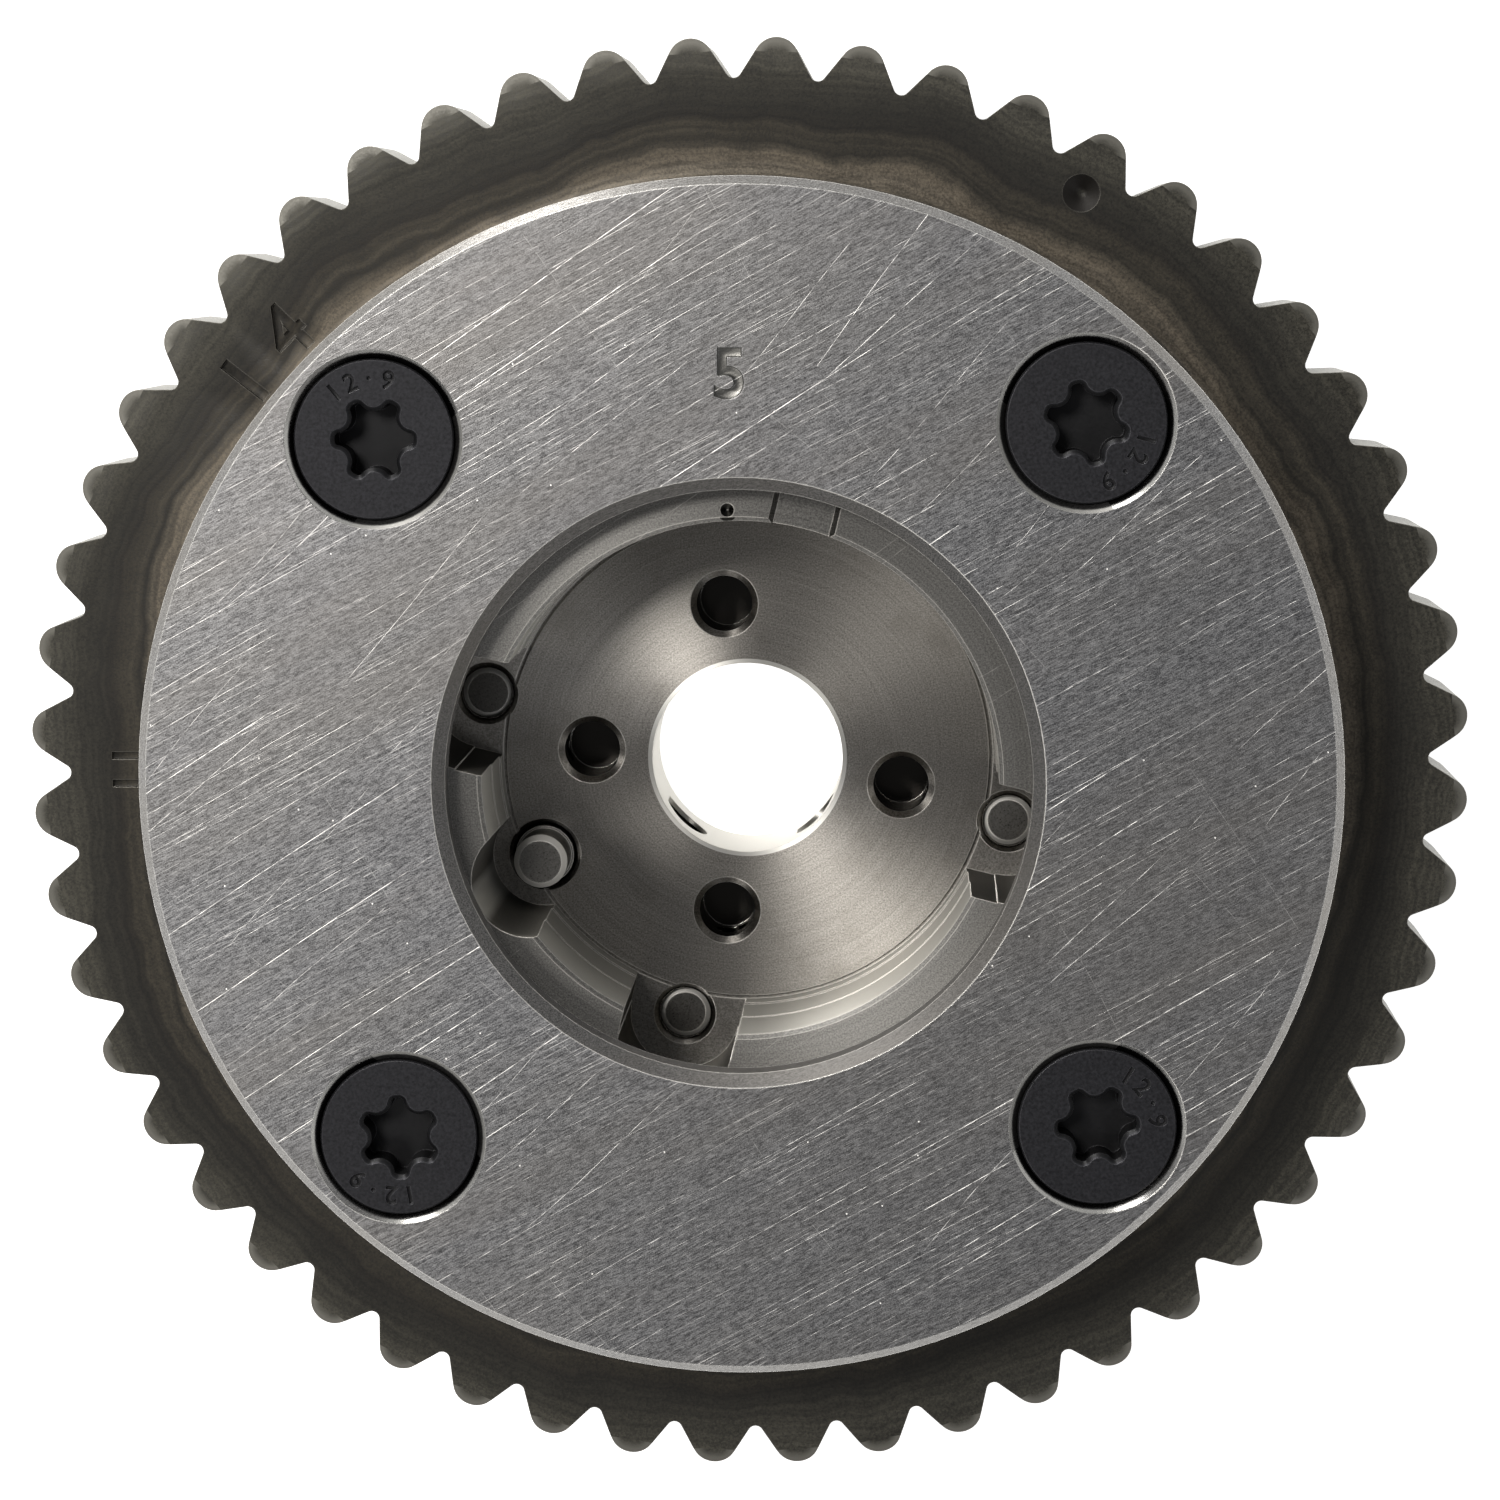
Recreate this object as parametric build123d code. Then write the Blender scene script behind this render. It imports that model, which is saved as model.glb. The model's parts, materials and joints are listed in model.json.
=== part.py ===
from build123d import *
import os
from math import cos, radians, sin

# Camshaft sprocket with a vane phaser inside. Millimetres and degrees.
# The origin is on the axis at the camshaft's seat, +Z points to the camshaft,
# and angles run anticlockwise from +X, seen from the camshaft.

# Teeth, for an inverted-tooth chain
chain_pitch = 6.35
tooth_count = 52
first_tooth_at = 4.376
tip_addendum = 0.165  # tooth tips outside the pitch circle
tip_round = 1.65
flank_angle = 30.0
root_round = 0.575
tooth_width = 10.7
tip_bevel_run = 1.1
tip_bevel_drop = 0.35

# Stack along the axis
recess_depth = 12.87  # camshaft's seat to the rotor's ledge
chamber_height = 19.1
cover_thickness = 2.9
end_plate_thickness = 4.5
end_clearance = 0.03  # rotor to each plate

# Housing
hub_radius = 42.7
hub_wall = 4.2  # hub's outside to the chambers
hub_fillet = 1.2
fillet_share = 0.6  # most of the rim or the hub's height that the fillet takes
chamber_count = 4
lobe_angle = 28.4
lobe_corner = 0.8
timing_dimple_radius = 1.36
timing_dimple_depth = 0.68
timing_dimple_circle = 48.1
timing_dimple_at = 59.8

# Plates
cover_hole_radius = 20.85
cover_hole_chamfer = 0.9
plate_edge_chamfer = 0.6
journal_radius = 23.0
journal_clearance = 0.05

# Screws, M6 countersunk, six-lobe recess
screw_edge = 7.4  # hub's outside to the screws' axes
first_screw_at = 46.43
screw_radius = 3.0
screw_hole_clearance = 0.2
thread_clearance = 0.05
countersink_radius = 6.3
head_radius = 5.65
head_sink = 0.2
head_edge = 0.12
seat_clearance = 0.02
screw_end_setback = 0.35
screw_end_chamfer = 0.6
recess_tip_radius = 2.8
recess_root_radius = 1.98
recess_scallop = 1.15
recess_corner = 0.3
recess_drop = 2.6
recess_rim = 0.3  # slope round the recess's mouth
recess_turns = (45.0, 0.0, 32.0, 4.0)  # as the screws stopped when tightened

# Rotor
rotor_hub_radius = 26.5
hub_clearance = 0.05
vane_clearance = 0.05
stop_gap = 0.17  # degrees between the wide vane and its stop at rest
lock_vane_angle = 31.2
vane_angle = 14.0
vane_corner = 1.0
root_relief = 0.7
bore_radius = 7.085
bolt_seat_z = -8.7
bolt_seat_radius = 13.5
bolt_seat_height = 0.3
journal_chamfer = 0.5

# Camshaft recess in the rotor, from its foot up
relief_radius = 17.95
relief_drop = 0.3
foot_radius = 18.25
foot_top = 1.35
guide_radius = 18.4
guide_top = 6.0
recess_radius = 18.5
ledge_chamfer = 0.3
ledge_dimple_radius = 0.5
ledge_dimple_depth = 0.5
ledge_dimple_circle = 19.28
ledge_dimple_at = 92.6

# Pins and their pockets in the rotor
press_gap = 0.01
pin_circle = 19.96
pin_radius = 1.88
pin_sink = 0.6
pin_bevel = 0.35
pin_ring_radius = 2.33
pocket_drop = 0.2  # pocket floors below the camshaft's seat
pocket_half_width = 4.17
pocket_end_radius = 4.1
dowel_x = -15.16
dowel_y = -7.38
dowel_radius = 1.98
dowel_shoulder = 0.2  # pressed end thicker than the free end
dowel_step_z = 0.0
dowel_top_z = 3.7
dowel_bevel = 0.4
dowel_depth = 6.3
dowel_end_gap = 0.2
dowel_ring_radius = 2.7
dowel_pocket_radius = 4.1
dowel_pocket_floor_radius = 3.88

# Oil ways in the rotor
oil_hole_circle = 11.6
oil_hole_angles = (98.5, 177.3, 262.5, 350.2)
oil_hole_radius = 2.07
oil_hole_rim = 0.45
oil_hole_depth = 5.2
return_way_radius = 1.25
return_way_z = -3.4
return_exit_gap = 8.0  # degrees past the vane's side
feed_way_radius = 2.0
feed_way_z = -4.0
feed_start_lag = 30.2  # degrees behind the vane's middle, at the bore
feed_exit_gap = 5.5
lock_feed_exit_gap = 2.0
vent_half_width = 2.03
vent_depth = 0.45
vent_slope = 0.4

# Vane seals and their leaf springs
slot_width = 2.2
slot_depth = 2.5
seal_side_clearance = 0.05
seal_tip_clearance = 0.03
seal_height = 1.8
leaf_thickness = 0.2
leaf_width = 1.8
leaf_end_inset = 1.0
leaf_clearance = 0.02

# Lock pin, its spring, guide and seat
lock_inset = 7.1  # chambers' outer wall to the lock pin's axis
lock_pin_radius = 3.72
lock_clearance = 0.03
lock_stroke = 2.5
lock_stop_gap = 0.05
lock_nose_radius = 3.2
lock_nose_length = 2.9
lock_nose_chamfer = 0.4
lock_core_radius = 2.55
lock_floor = 2.2
guide_flange_radius = 4.5
guide_flange_thickness = 1.4
guide_stem_radius = 1.2
guide_stem_length = 5.0
guide_vent_radius = 0.6
spring_wire = 0.7
spring_mean_radius = 1.95
spring_turns = 7
seat_outer_radius = 5.0
seat_depth = 3.2
seat_bore_clearance = 0.15
seat_mouth = 0.4

# Levels and radii that follow
over = 1.0  # how far cutting tools run past a face
ledge_z = recess_depth
cover_under = ledge_z + end_clearance
cover_top = cover_under + cover_thickness
housing_under = cover_under - chamber_height
end_under = housing_under - end_plate_thickness
tooth_face = housing_under + tooth_width
rotor_under = housing_under + end_clearance
rotor_height = ledge_z - rotor_under
journal_end = bolt_seat_z + bolt_seat_height
pocket_floor = -pocket_drop
vent_floor = ledge_z - vent_depth
pitch_radius = chain_pitch / (2 * sin(radians(180 / tooth_count)))
tip_radius = pitch_radius + tip_addendum
chamber_radius = hub_radius - hub_wall
screw_circle = hub_radius - screw_edge
lock_circle = chamber_radius - lock_inset
vane_tip_radius = chamber_radius - vane_clearance
slot_floor = vane_tip_radius - slot_depth
step = 360 / chamber_count
lock_vane_at = first_screw_at + lobe_angle / 2 + stop_gap + lock_vane_angle / 2
screw_angles = [first_screw_at + step * k for k in range(chamber_count)]
vane_angles = [lock_vane_at + step * k for k in range(chamber_count)]
vane_spans = [lock_vane_angle] + [vane_angle] * (chamber_count - 1)
pin_angles = vane_angles[1:]


def polar(radius, angle, z=0.0):
    return Vector(radius * cos(radians(angle)), radius * sin(radians(angle)), z)


def disc(radius, z_low, z_high, centre=(0, 0)):
    """A round cylinder between two levels."""
    place = Pos(centre[0], centre[1], z_low)
    return place * Cylinder(radius, z_high - z_low, align=(Align.CENTER, Align.CENTER, Align.MIN))


def turned(points):
    """A body of revolution from radius and height pairs."""
    outline = make_face(Polyline(*[(r, 0, z) for r, z in points], close=True))
    return revolve(outline, Axis.Z, 360)


def rod(radius, start, end):
    """A straight round drilling from one point to another."""
    way = end - start
    return Plane(origin=start, z_dir=way) * extrude(Circle(radius), way.length)


def sector(outer, middle, span):
    """A wedge of the plane about the axis, out to a radius."""
    reach = 2 * outer
    low = polar(reach, middle - span / 2)
    high = polar(reach, middle + span / 2)
    wedge = make_face(Polyline((0, 0), (low.X, low.Y), (high.X, high.Y), close=True))
    return wedge & Circle(outer)


def at_levels(sketch, z_low, z_high):
    return Pos(0, 0, z_low) * extrude(sketch, z_high - z_low)


def outer_corners(sketch, inner, outer):
    """The corners that lie nearer to the outer radius than to the inner one."""
    middle = (inner + outer) / 2
    return [v for v in sketch.vertices() if Vector(v.X, v.Y).length > middle]


# A centre punch's mark: a cone whose wide end lies in the face
def dimple(radius, depth, circle, angle, face):
    cone = Cone(0, radius, depth, align=(Align.CENTER, Align.CENTER, Align.MAX))
    return Pos(*polar(circle, angle, face)) * cone


# Teeth: round tips, straight flanks and round roots, each tangent to the next
def toothed_outline():
    half_pitch = 180 / tooth_count
    tip_centre = tip_radius - tip_round
    lean = sin(radians(half_pitch + flank_angle))
    tip_reach = tip_centre * sin(radians(flank_angle)) + tip_round
    root_centre = (root_round + tip_reach) / lean
    normal = 90 - flank_angle  # flank's normal from the tooth's middle line
    edges = []
    for k in range(tooth_count):
        middle = first_tooth_at + k * 2 * half_pitch
        top = polar(tip_centre, middle)
        gap = polar(root_centre, middle + half_pitch)
        next_middle = middle + 2 * half_pitch
        next_top = polar(tip_centre, next_middle)
        rise_low = top + polar(tip_round, middle - normal)
        rise_high = top + polar(tip_round, middle + normal)
        foot_low = gap - polar(root_round, middle + normal)
        foot_high = gap - polar(root_round, next_middle - normal)
        next_low = next_top + polar(tip_round, next_middle - normal)
        bottom = polar(root_centre - root_round, middle + half_pitch)
        edges.append(ThreePointArc(rise_low, polar(tip_radius, middle), rise_high))
        edges.append(Line(rise_high, foot_low))
        edges.append(ThreePointArc(foot_low, bottom, foot_high))
        edges.append(Line(foot_high, next_low))
    return make_face(Wire(edges)), root_centre - root_round


# Chambers between the four lobes, with rounded corners at the outer wall
def chamber_outline():
    lobe_ring = Circle(chamber_radius + over) - Circle(rotor_hub_radius + hub_clearance)
    outline = Circle(chamber_radius)
    for angle in screw_angles:
        outline -= lobe_ring & sector(chamber_radius + over, angle, lobe_angle)
    return fillet(outer_corners(outline, rotor_hub_radius, chamber_radius), lobe_corner)


# A screw's hole, countersunk from the cover's face into the lobe under it
def screw_hole(angle):
    hole = screw_radius + screw_hole_clearance
    tool = turned([
        (0, housing_under - over),
        (hole, housing_under - over),
        (hole, cover_top - (countersink_radius - hole)),
        (countersink_radius + over, cover_top + over),
        (0, cover_top + over),
    ])
    return Pos(*polar(screw_circle, angle)) * tool


def sprocket_housing():
    outline, root_radius = toothed_outline()
    bevel_start = tip_radius - tip_bevel_run
    blank = turned([
        (0, housing_under),
        (bevel_start, housing_under),
        (tip_radius + tip_bevel_run, housing_under + 2 * tip_bevel_drop),
        (tip_radius + tip_bevel_run, tooth_face - 2 * tip_bevel_drop),
        (bevel_start, tooth_face),
        (0, tooth_face),
    ])
    teeth = at_levels(outline, housing_under, tooth_face) & blank
    room = min(root_radius - hub_radius, cover_under - tooth_face)
    fillet_radius = min(hub_fillet, fillet_share * room)
    hub = disc(hub_radius, housing_under, cover_under)
    skirt = disc(hub_radius + fillet_radius, tooth_face, tooth_face + fillet_radius)
    hollow = Pos(0, 0, tooth_face + fillet_radius) * Torus(hub_radius + fillet_radius, fillet_radius)
    body = teeth + hub + (skirt - hollow)
    body -= at_levels(chamber_outline(), housing_under - over, cover_under + over)
    for angle in screw_angles:
        body -= screw_hole(angle)
    body -= dimple(timing_dimple_radius, timing_dimple_depth, timing_dimple_circle, timing_dimple_at, tooth_face)
    return body


def cover_plate():
    inner = cover_hole_radius
    plate = turned([
        (inner, cover_under),
        (hub_radius, cover_under),
        (hub_radius, cover_top - plate_edge_chamfer),
        (hub_radius - plate_edge_chamfer, cover_top),
        (inner + cover_hole_chamfer, cover_top),
        (inner, cover_top - cover_hole_chamfer),
    ])
    for angle in screw_angles:
        plate -= screw_hole(angle)
    return plate


def end_plate():
    inner = journal_radius + journal_clearance
    plate = turned([
        (inner, housing_under),
        (hub_radius, housing_under),
        (hub_radius, end_under + plate_edge_chamfer),
        (hub_radius - plate_edge_chamfer, end_under),
        (inner + plate_edge_chamfer, end_under),
        (inner, end_under + plate_edge_chamfer),
    ])
    for angle in screw_angles:
        hole_at = polar(screw_circle, angle)
        plate -= disc(
            screw_radius + thread_clearance, end_under - over, housing_under + over, (hole_at.X, hole_at.Y)
        )
    seat_at = polar(lock_circle, lock_vane_at)
    plate -= disc(
        seat_outer_radius + press_gap, housing_under - seat_depth, housing_under + over, (seat_at.X, seat_at.Y)
    )
    return plate


def cover_screw(angle, turn):
    top = cover_top - head_sink
    sink = countersink_radius - seat_clearance
    end = end_under + screw_end_setback
    screw = turned([
        (0, top),
        (head_radius - head_edge, top),
        (head_radius, top - head_edge),
        (head_radius, cover_top - (sink - head_radius)),
        (screw_radius, cover_top - (sink - screw_radius)),
        (screw_radius, end + screw_end_chamfer),
        (screw_radius - screw_end_chamfer, end),
        (0, end),
    ])
    star = Circle(recess_tip_radius)
    for k in range(6):
        star -= Pos(*polar(recess_root_radius + recess_scallop, turn + 30 + 60 * k)) * Circle(recess_scallop)
    star = fillet(outer_corners(star, recess_root_radius, recess_tip_radius), recess_corner)
    screw -= at_levels(star, top - recess_drop, top + over)
    mouth = screw.faces().sort_by(Axis.Z)[-1].inner_wires()[0]
    screw = chamfer(mouth.edges(), recess_rim)
    return Pos(*polar(screw_circle, angle)) * screw


# Rotor in plan: a hub and its vanes, with a round relief in each root
def rotor_outline():
    outline = Circle(rotor_hub_radius)
    for angle, span in zip(vane_angles, vane_spans):
        vane = sector(vane_tip_radius, angle, span)
        outline += chamfer(outer_corners(vane, 0, vane_tip_radius), vane_corner)
    for angle, span in zip(vane_angles, vane_spans):
        for side in (-0.5, 0.5):
            outline -= Pos(*polar(rotor_hub_radius, angle + side * span)) * Circle(root_relief)
        slot = Pos(slot_floor + slot_depth, 0) * Rectangle(2 * slot_depth, slot_width)
        outline -= Rot(0, 0, angle) * slot
    return outline


# The recess that takes the camshaft's nose, as a turned tool
def camshaft_recess():
    return turned([
        (0, 0),
        (relief_radius, 0),
        (relief_radius, -relief_drop),
        (foot_radius, -relief_drop),
        (foot_radius, foot_top),
        (guide_radius, foot_top),
        (guide_radius, guide_top),
        (recess_radius, guide_top),
        (recess_radius, ledge_z - ledge_chamfer),
        (recess_radius + ledge_chamfer, ledge_z),
        (recess_radius + ledge_chamfer, ledge_z + over),
        (0, ledge_z + over),
    ])


# A pin's hole, with the ring round its mouth in the pocket's floor
def pin_hole(radius, ring, depth_z):
    return turned([
        (0, depth_z),
        (radius, depth_z),
        (radius, pocket_floor - (ring - radius)),
        (ring, pocket_floor),
        (ring, pocket_floor + over),
        (0, pocket_floor + over),
    ])


def pin_pocket(angle):
    plan = Pos(pin_circle / 2, 0) * Rectangle(pin_circle, 2 * pocket_half_width)
    plan += Pos(pin_circle, 0) * Circle(pocket_end_radius)
    plan -= Circle(relief_radius)
    pocket = at_levels(plan, pocket_floor, ledge_z + over)
    hole = Pos(pin_circle, 0) * pin_hole(pin_radius + press_gap, pin_ring_radius, bolt_seat_z - over)
    return Rot(0, 0, angle) * (pocket + hole)


def dowel_pocket():
    slope = (dowel_pocket_radius - dowel_pocket_floor_radius) / (ledge_z - pocket_floor)
    pocket = turned([
        (0, pocket_floor),
        (dowel_pocket_floor_radius, pocket_floor),
        (dowel_pocket_radius + slope * over, ledge_z + over),
        (0, ledge_z + over),
    ])
    pocket -= disc(relief_radius, pocket_floor - over, ledge_z + 2 * over, (-dowel_x, -dowel_y))
    shank = dowel_radius + dowel_shoulder
    hole = pin_hole(shank + press_gap, dowel_ring_radius, -dowel_depth - dowel_end_gap)
    return Pos(dowel_x, dowel_y) * (pocket + hole)


def oil_ways():
    ways = []
    mouth = turned([
        (0, -oil_hole_depth),
        (oil_hole_radius, -oil_hole_depth),
        (oil_hole_radius, -oil_hole_rim),
        (oil_hole_radius + oil_hole_rim + over, over),
        (0, over),
    ])
    for k, angle in enumerate(vane_angles):
        side = vane_spans[k] / 2
        exit_gap = feed_exit_gap if k else lock_feed_exit_gap
        ways.append(Pos(*polar(oil_hole_circle, oil_hole_angles[k])) * mouth)
        start = polar(oil_hole_circle, oil_hole_angles[k], return_way_z)
        end = polar(rotor_hub_radius, angle + side + return_exit_gap, return_way_z)
        ways.append(rod(return_way_radius, start, end + (end - start).normalized() * over))
        start = polar(bore_radius, angle - feed_start_lag, feed_way_z)
        end = polar(rotor_hub_radius, angle - side - exit_gap, feed_way_z)
        run_out = (end - start).normalized() * over
        ways.append(rod(feed_way_radius, start - run_out, end + run_out))
    return ways


# A flat-floored groove with sloped sides, from the recess to the lock pin's bore
def vent_groove():
    low = vent_half_width
    high = vent_half_width + vent_slope * (vent_depth + over) / vent_depth
    section = make_face(Polyline(
        (0, -low, vent_floor), (0, low, vent_floor), (0, high, ledge_z + over), (0, -high, ledge_z + over), close=True
    ))
    groove = extrude(section, lock_circle, dir=(1, 0, 0))
    groove -= disc(relief_radius, 0, ledge_z + 2 * over)
    return Rot(0, 0, lock_vane_at) * groove


def rotor():
    body = at_levels(rotor_outline(), rotor_under, ledge_z)
    body += turned([
        (0, rotor_under),
        (journal_radius, rotor_under),
        (journal_radius, journal_end + journal_chamfer),
        (journal_radius - journal_chamfer, journal_end),
        (bolt_seat_radius, journal_end),
        (bolt_seat_radius, bolt_seat_z),
        (0, bolt_seat_z),
    ])
    body -= camshaft_recess()
    body -= disc(bore_radius, bolt_seat_z - over, over)
    for angle in pin_angles:
        body -= pin_pocket(angle)
    body -= dowel_pocket()
    for way in oil_ways():
        body -= way
    body -= vent_groove()
    lock_at = polar(lock_circle, lock_vane_at)
    lock_place = (lock_at.X, lock_at.Y)
    body -= disc(lock_pin_radius + lock_clearance, rotor_under - over, ledge_z + over, lock_place)
    body -= disc(guide_flange_radius, vent_floor - guide_flange_thickness, ledge_z + over, lock_place)
    body -= dimple(ledge_dimple_radius, ledge_dimple_depth, ledge_dimple_circle, ledge_dimple_at, ledge_z)
    return body


def hub_pin(angle):
    top = pocket_floor - pin_sink
    pin = turned([
        (0, top),
        (pin_radius - pin_bevel, top),
        (pin_radius, top - pin_bevel),
        (pin_radius, journal_end + pin_bevel),
        (pin_radius - pin_bevel, journal_end),
        (0, journal_end),
    ])
    return Pos(*polar(pin_circle, angle)) * pin


def camshaft_dowel():
    shank = dowel_radius + dowel_shoulder
    pin = turned([
        (0, dowel_top_z),
        (dowel_radius - dowel_bevel, dowel_top_z),
        (dowel_radius, dowel_top_z - dowel_bevel),
        (dowel_radius, dowel_step_z),
        (shank, dowel_step_z),
        (shank, dowel_bevel - dowel_depth),
        (shank - dowel_bevel, -dowel_depth),
        (0, -dowel_depth),
    ])
    return Pos(dowel_x, dowel_y) * pin


def vane_seal(angle):
    outer = chamber_radius - seal_tip_clearance
    plan = Pos(outer - seal_height + outer / 2, 0) * Rectangle(outer, slot_width - 2 * seal_side_clearance)
    plan &= Circle(outer)
    return Rot(0, 0, angle) * at_levels(plan, rotor_under, ledge_z)


# A bowed strip: its ends on the slot's floor, its middle under the seal
def seal_spring(angle):
    inner = slot_floor + leaf_clearance
    outer = chamber_radius - seal_tip_clearance - seal_height - leaf_clearance
    middle = (rotor_under + ledge_z) / 2
    low = rotor_under + leaf_end_inset
    high = ledge_z - leaf_end_inset
    back = ThreePointArc((inner, 0, low), (outer - leaf_thickness, 0, middle), (inner, 0, high))
    front = ThreePointArc(
        (inner + leaf_thickness, 0, high), (outer, 0, middle), (inner + leaf_thickness, 0, low)
    )
    profile = make_face([back, Line(back @ 1, front @ 0), front, Line(front @ 1, back @ 0)])
    return Rot(0, 0, angle) * extrude(profile, leaf_width / 2, both=True)


def lock_pin():
    top = vent_floor - guide_flange_thickness - lock_stop_gap - lock_stroke
    shoulder = rotor_under + lock_nose_length
    pin = turned([
        (0, rotor_under),
        (lock_nose_radius - lock_nose_chamfer, rotor_under),
        (lock_nose_radius, rotor_under + lock_nose_chamfer),
        (lock_nose_radius, shoulder),
        (lock_pin_radius, shoulder + lock_pin_radius - lock_nose_radius),
        (lock_pin_radius, top),
        (lock_core_radius, top),
        (lock_core_radius, rotor_under + lock_floor),
        (0, rotor_under + lock_floor),
    ])
    return Pos(*polar(lock_circle, lock_vane_at)) * pin


def spring_guide():
    under = vent_floor - guide_flange_thickness
    guide = turned([
        (guide_vent_radius, vent_floor),
        (guide_flange_radius - press_gap, vent_floor),
        (guide_flange_radius - press_gap, under),
        (guide_stem_radius, under),
        (guide_stem_radius, under - guide_stem_length),
        (guide_vent_radius, under - guide_stem_length),
    ])
    return Pos(*polar(lock_circle, lock_vane_at)) * guide


# Round wire between the pin's floor and the guide, its ends ground flat
def lock_pin_spring():
    low = rotor_under + lock_floor
    high = vent_floor - guide_flange_thickness
    path = Helix((high - low) / spring_turns, high - low, spring_mean_radius)
    wire = sweep(Plane(origin=path @ 0, z_dir=path % 0) * Circle(spring_wire / 2), path)
    coil = Pos(0, 0, low) * wire
    coil &= disc(spring_mean_radius + spring_wire, low, high)
    return Pos(*polar(lock_circle, lock_vane_at)) * coil


# Pressed in before the end plate's hole for the journal is bored
def lock_pin_seat():
    inner = lock_nose_radius + seat_bore_clearance
    seat = turned([
        (inner, housing_under - seat_depth),
        (seat_outer_radius, housing_under - seat_depth),
        (seat_outer_radius, housing_under),
        (inner + seat_mouth, housing_under),
        (inner, housing_under - seat_mouth),
    ])
    seat = Pos(*polar(lock_circle, lock_vane_at)) * seat
    return seat - disc(journal_radius + journal_clearance, end_under, housing_under + over)


nodes = {
    "sprocket_housing": sprocket_housing(),
    "cover_plate": cover_plate(),
    "end_plate": end_plate(),
    "lock_pin_seat": lock_pin_seat(),
    "rotor": rotor(),
    "camshaft_dowel": camshaft_dowel(),
    "lock_pin": lock_pin(),
    "lock_pin_spring": lock_pin_spring(),
    "spring_guide": spring_guide(),
}
for k in range(chamber_count):
    nodes[f"cover_screw_{k + 1}"] = cover_screw(screw_angles[k], recess_turns[k])
    nodes[f"vane_seal_{k + 1}"] = vane_seal(vane_angles[k])
    nodes[f"seal_spring_{k + 1}"] = seal_spring(vane_angles[k])
for k, angle in enumerate(pin_angles):
    nodes[f"hub_pin_{k + 1}"] = hub_pin(angle)

os.makedirs("parts", exist_ok=True)
for name, shape in nodes.items():
    export_step(shape, f"parts/{name}.step")
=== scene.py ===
# Camshaft sprocket with a vane phaser: metal finishes, stamped marks and a plain studio
import bpy
import bmesh
import json
from math import cos, degrees, radians, sin
from mathutils import Matrix, Vector


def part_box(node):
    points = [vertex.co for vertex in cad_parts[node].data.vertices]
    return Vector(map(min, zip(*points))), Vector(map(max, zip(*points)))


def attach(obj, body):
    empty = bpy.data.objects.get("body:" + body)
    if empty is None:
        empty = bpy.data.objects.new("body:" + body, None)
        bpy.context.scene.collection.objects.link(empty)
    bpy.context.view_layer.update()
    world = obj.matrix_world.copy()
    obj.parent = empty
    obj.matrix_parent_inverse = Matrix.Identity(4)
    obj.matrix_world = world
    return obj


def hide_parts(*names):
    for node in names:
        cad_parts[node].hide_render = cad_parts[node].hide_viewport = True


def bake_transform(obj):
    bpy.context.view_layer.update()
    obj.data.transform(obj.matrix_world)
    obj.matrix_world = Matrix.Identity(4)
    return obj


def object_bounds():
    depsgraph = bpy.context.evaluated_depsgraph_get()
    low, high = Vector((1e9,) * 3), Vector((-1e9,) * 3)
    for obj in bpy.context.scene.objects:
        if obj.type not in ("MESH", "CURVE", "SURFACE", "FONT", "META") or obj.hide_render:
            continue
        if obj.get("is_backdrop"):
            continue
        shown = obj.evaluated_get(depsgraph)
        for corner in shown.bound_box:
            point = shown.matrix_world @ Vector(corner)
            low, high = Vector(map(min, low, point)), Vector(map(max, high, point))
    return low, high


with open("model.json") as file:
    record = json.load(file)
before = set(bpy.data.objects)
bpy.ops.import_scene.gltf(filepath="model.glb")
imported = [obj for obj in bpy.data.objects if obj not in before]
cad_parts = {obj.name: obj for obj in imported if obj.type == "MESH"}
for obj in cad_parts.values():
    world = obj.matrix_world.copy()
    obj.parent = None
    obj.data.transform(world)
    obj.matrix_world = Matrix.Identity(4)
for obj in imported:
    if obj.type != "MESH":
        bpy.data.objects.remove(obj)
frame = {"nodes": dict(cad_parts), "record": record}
cadLow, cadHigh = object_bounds()
mm = 0.001
print("frame loaded:", len(frame["nodes"]), "nodes")


# Settings go to the node itself, plugs take either a value or a socket to link
def addNode(tree, kind, settings=None, plugs=None, stops=None):
    node = tree.nodes.new(kind)
    for key, value in (settings or {}).items():
        setattr(node, key, value)
    for key, value in (plugs or {}).items():
        if isinstance(value, bpy.types.NodeSocket):
            tree.links.new(value, node.inputs[key])
        else:
            node.inputs[key].default_value = value
    if stops:
        ramp = node.color_ramp.elements
        while len(ramp) < len(stops):
            ramp.new(1.0)
        for element, (place, colour) in zip(ramp, stops):
            element.position = place
            element.color = colour
    return node


def linear(hexColour):
    channels = [int(hexColour[k:k + 2], 16) / 255 for k in (1, 3, 5)]
    return [c / 12.92 if c <= 0.04045 else ((c + 0.055) / 1.055) ** 2.4 for c in channels] + [1.0]


def shade(level):
    return [level, level, level, 1.0]


def startMaterial(name, roughness, metallic=1.0):
    material = bpy.data.materials.new(name)
    material.use_nodes = True
    tree = material.node_tree
    shader = tree.nodes["Principled BSDF"]
    shader.inputs["Roughness"].default_value = roughness
    shader.inputs["Metallic"].default_value = metallic
    return material, tree, shader


# Object coordinates in millimetres, and the distance from the axis
def coordinates(tree):
    place = addNode(tree, "ShaderNodeTexCoord").outputs["Object"]
    inMillimetres = addNode(tree, "ShaderNodeVectorMath", {"operation": "SCALE"},
                            {0: place, "Scale": 1000.0}).outputs[0]
    split = addNode(tree, "ShaderNodeSeparateXYZ", None, {0: inMillimetres})
    flat = addNode(tree, "ShaderNodeCombineXYZ", None, {0: split.outputs[0], 1: split.outputs[1]})
    radius = addNode(tree, "ShaderNodeVectorMath", {"operation": "LENGTH"},
                     {0: flat.outputs[0]}).outputs["Value"]
    return inMillimetres, split, radius


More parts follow.
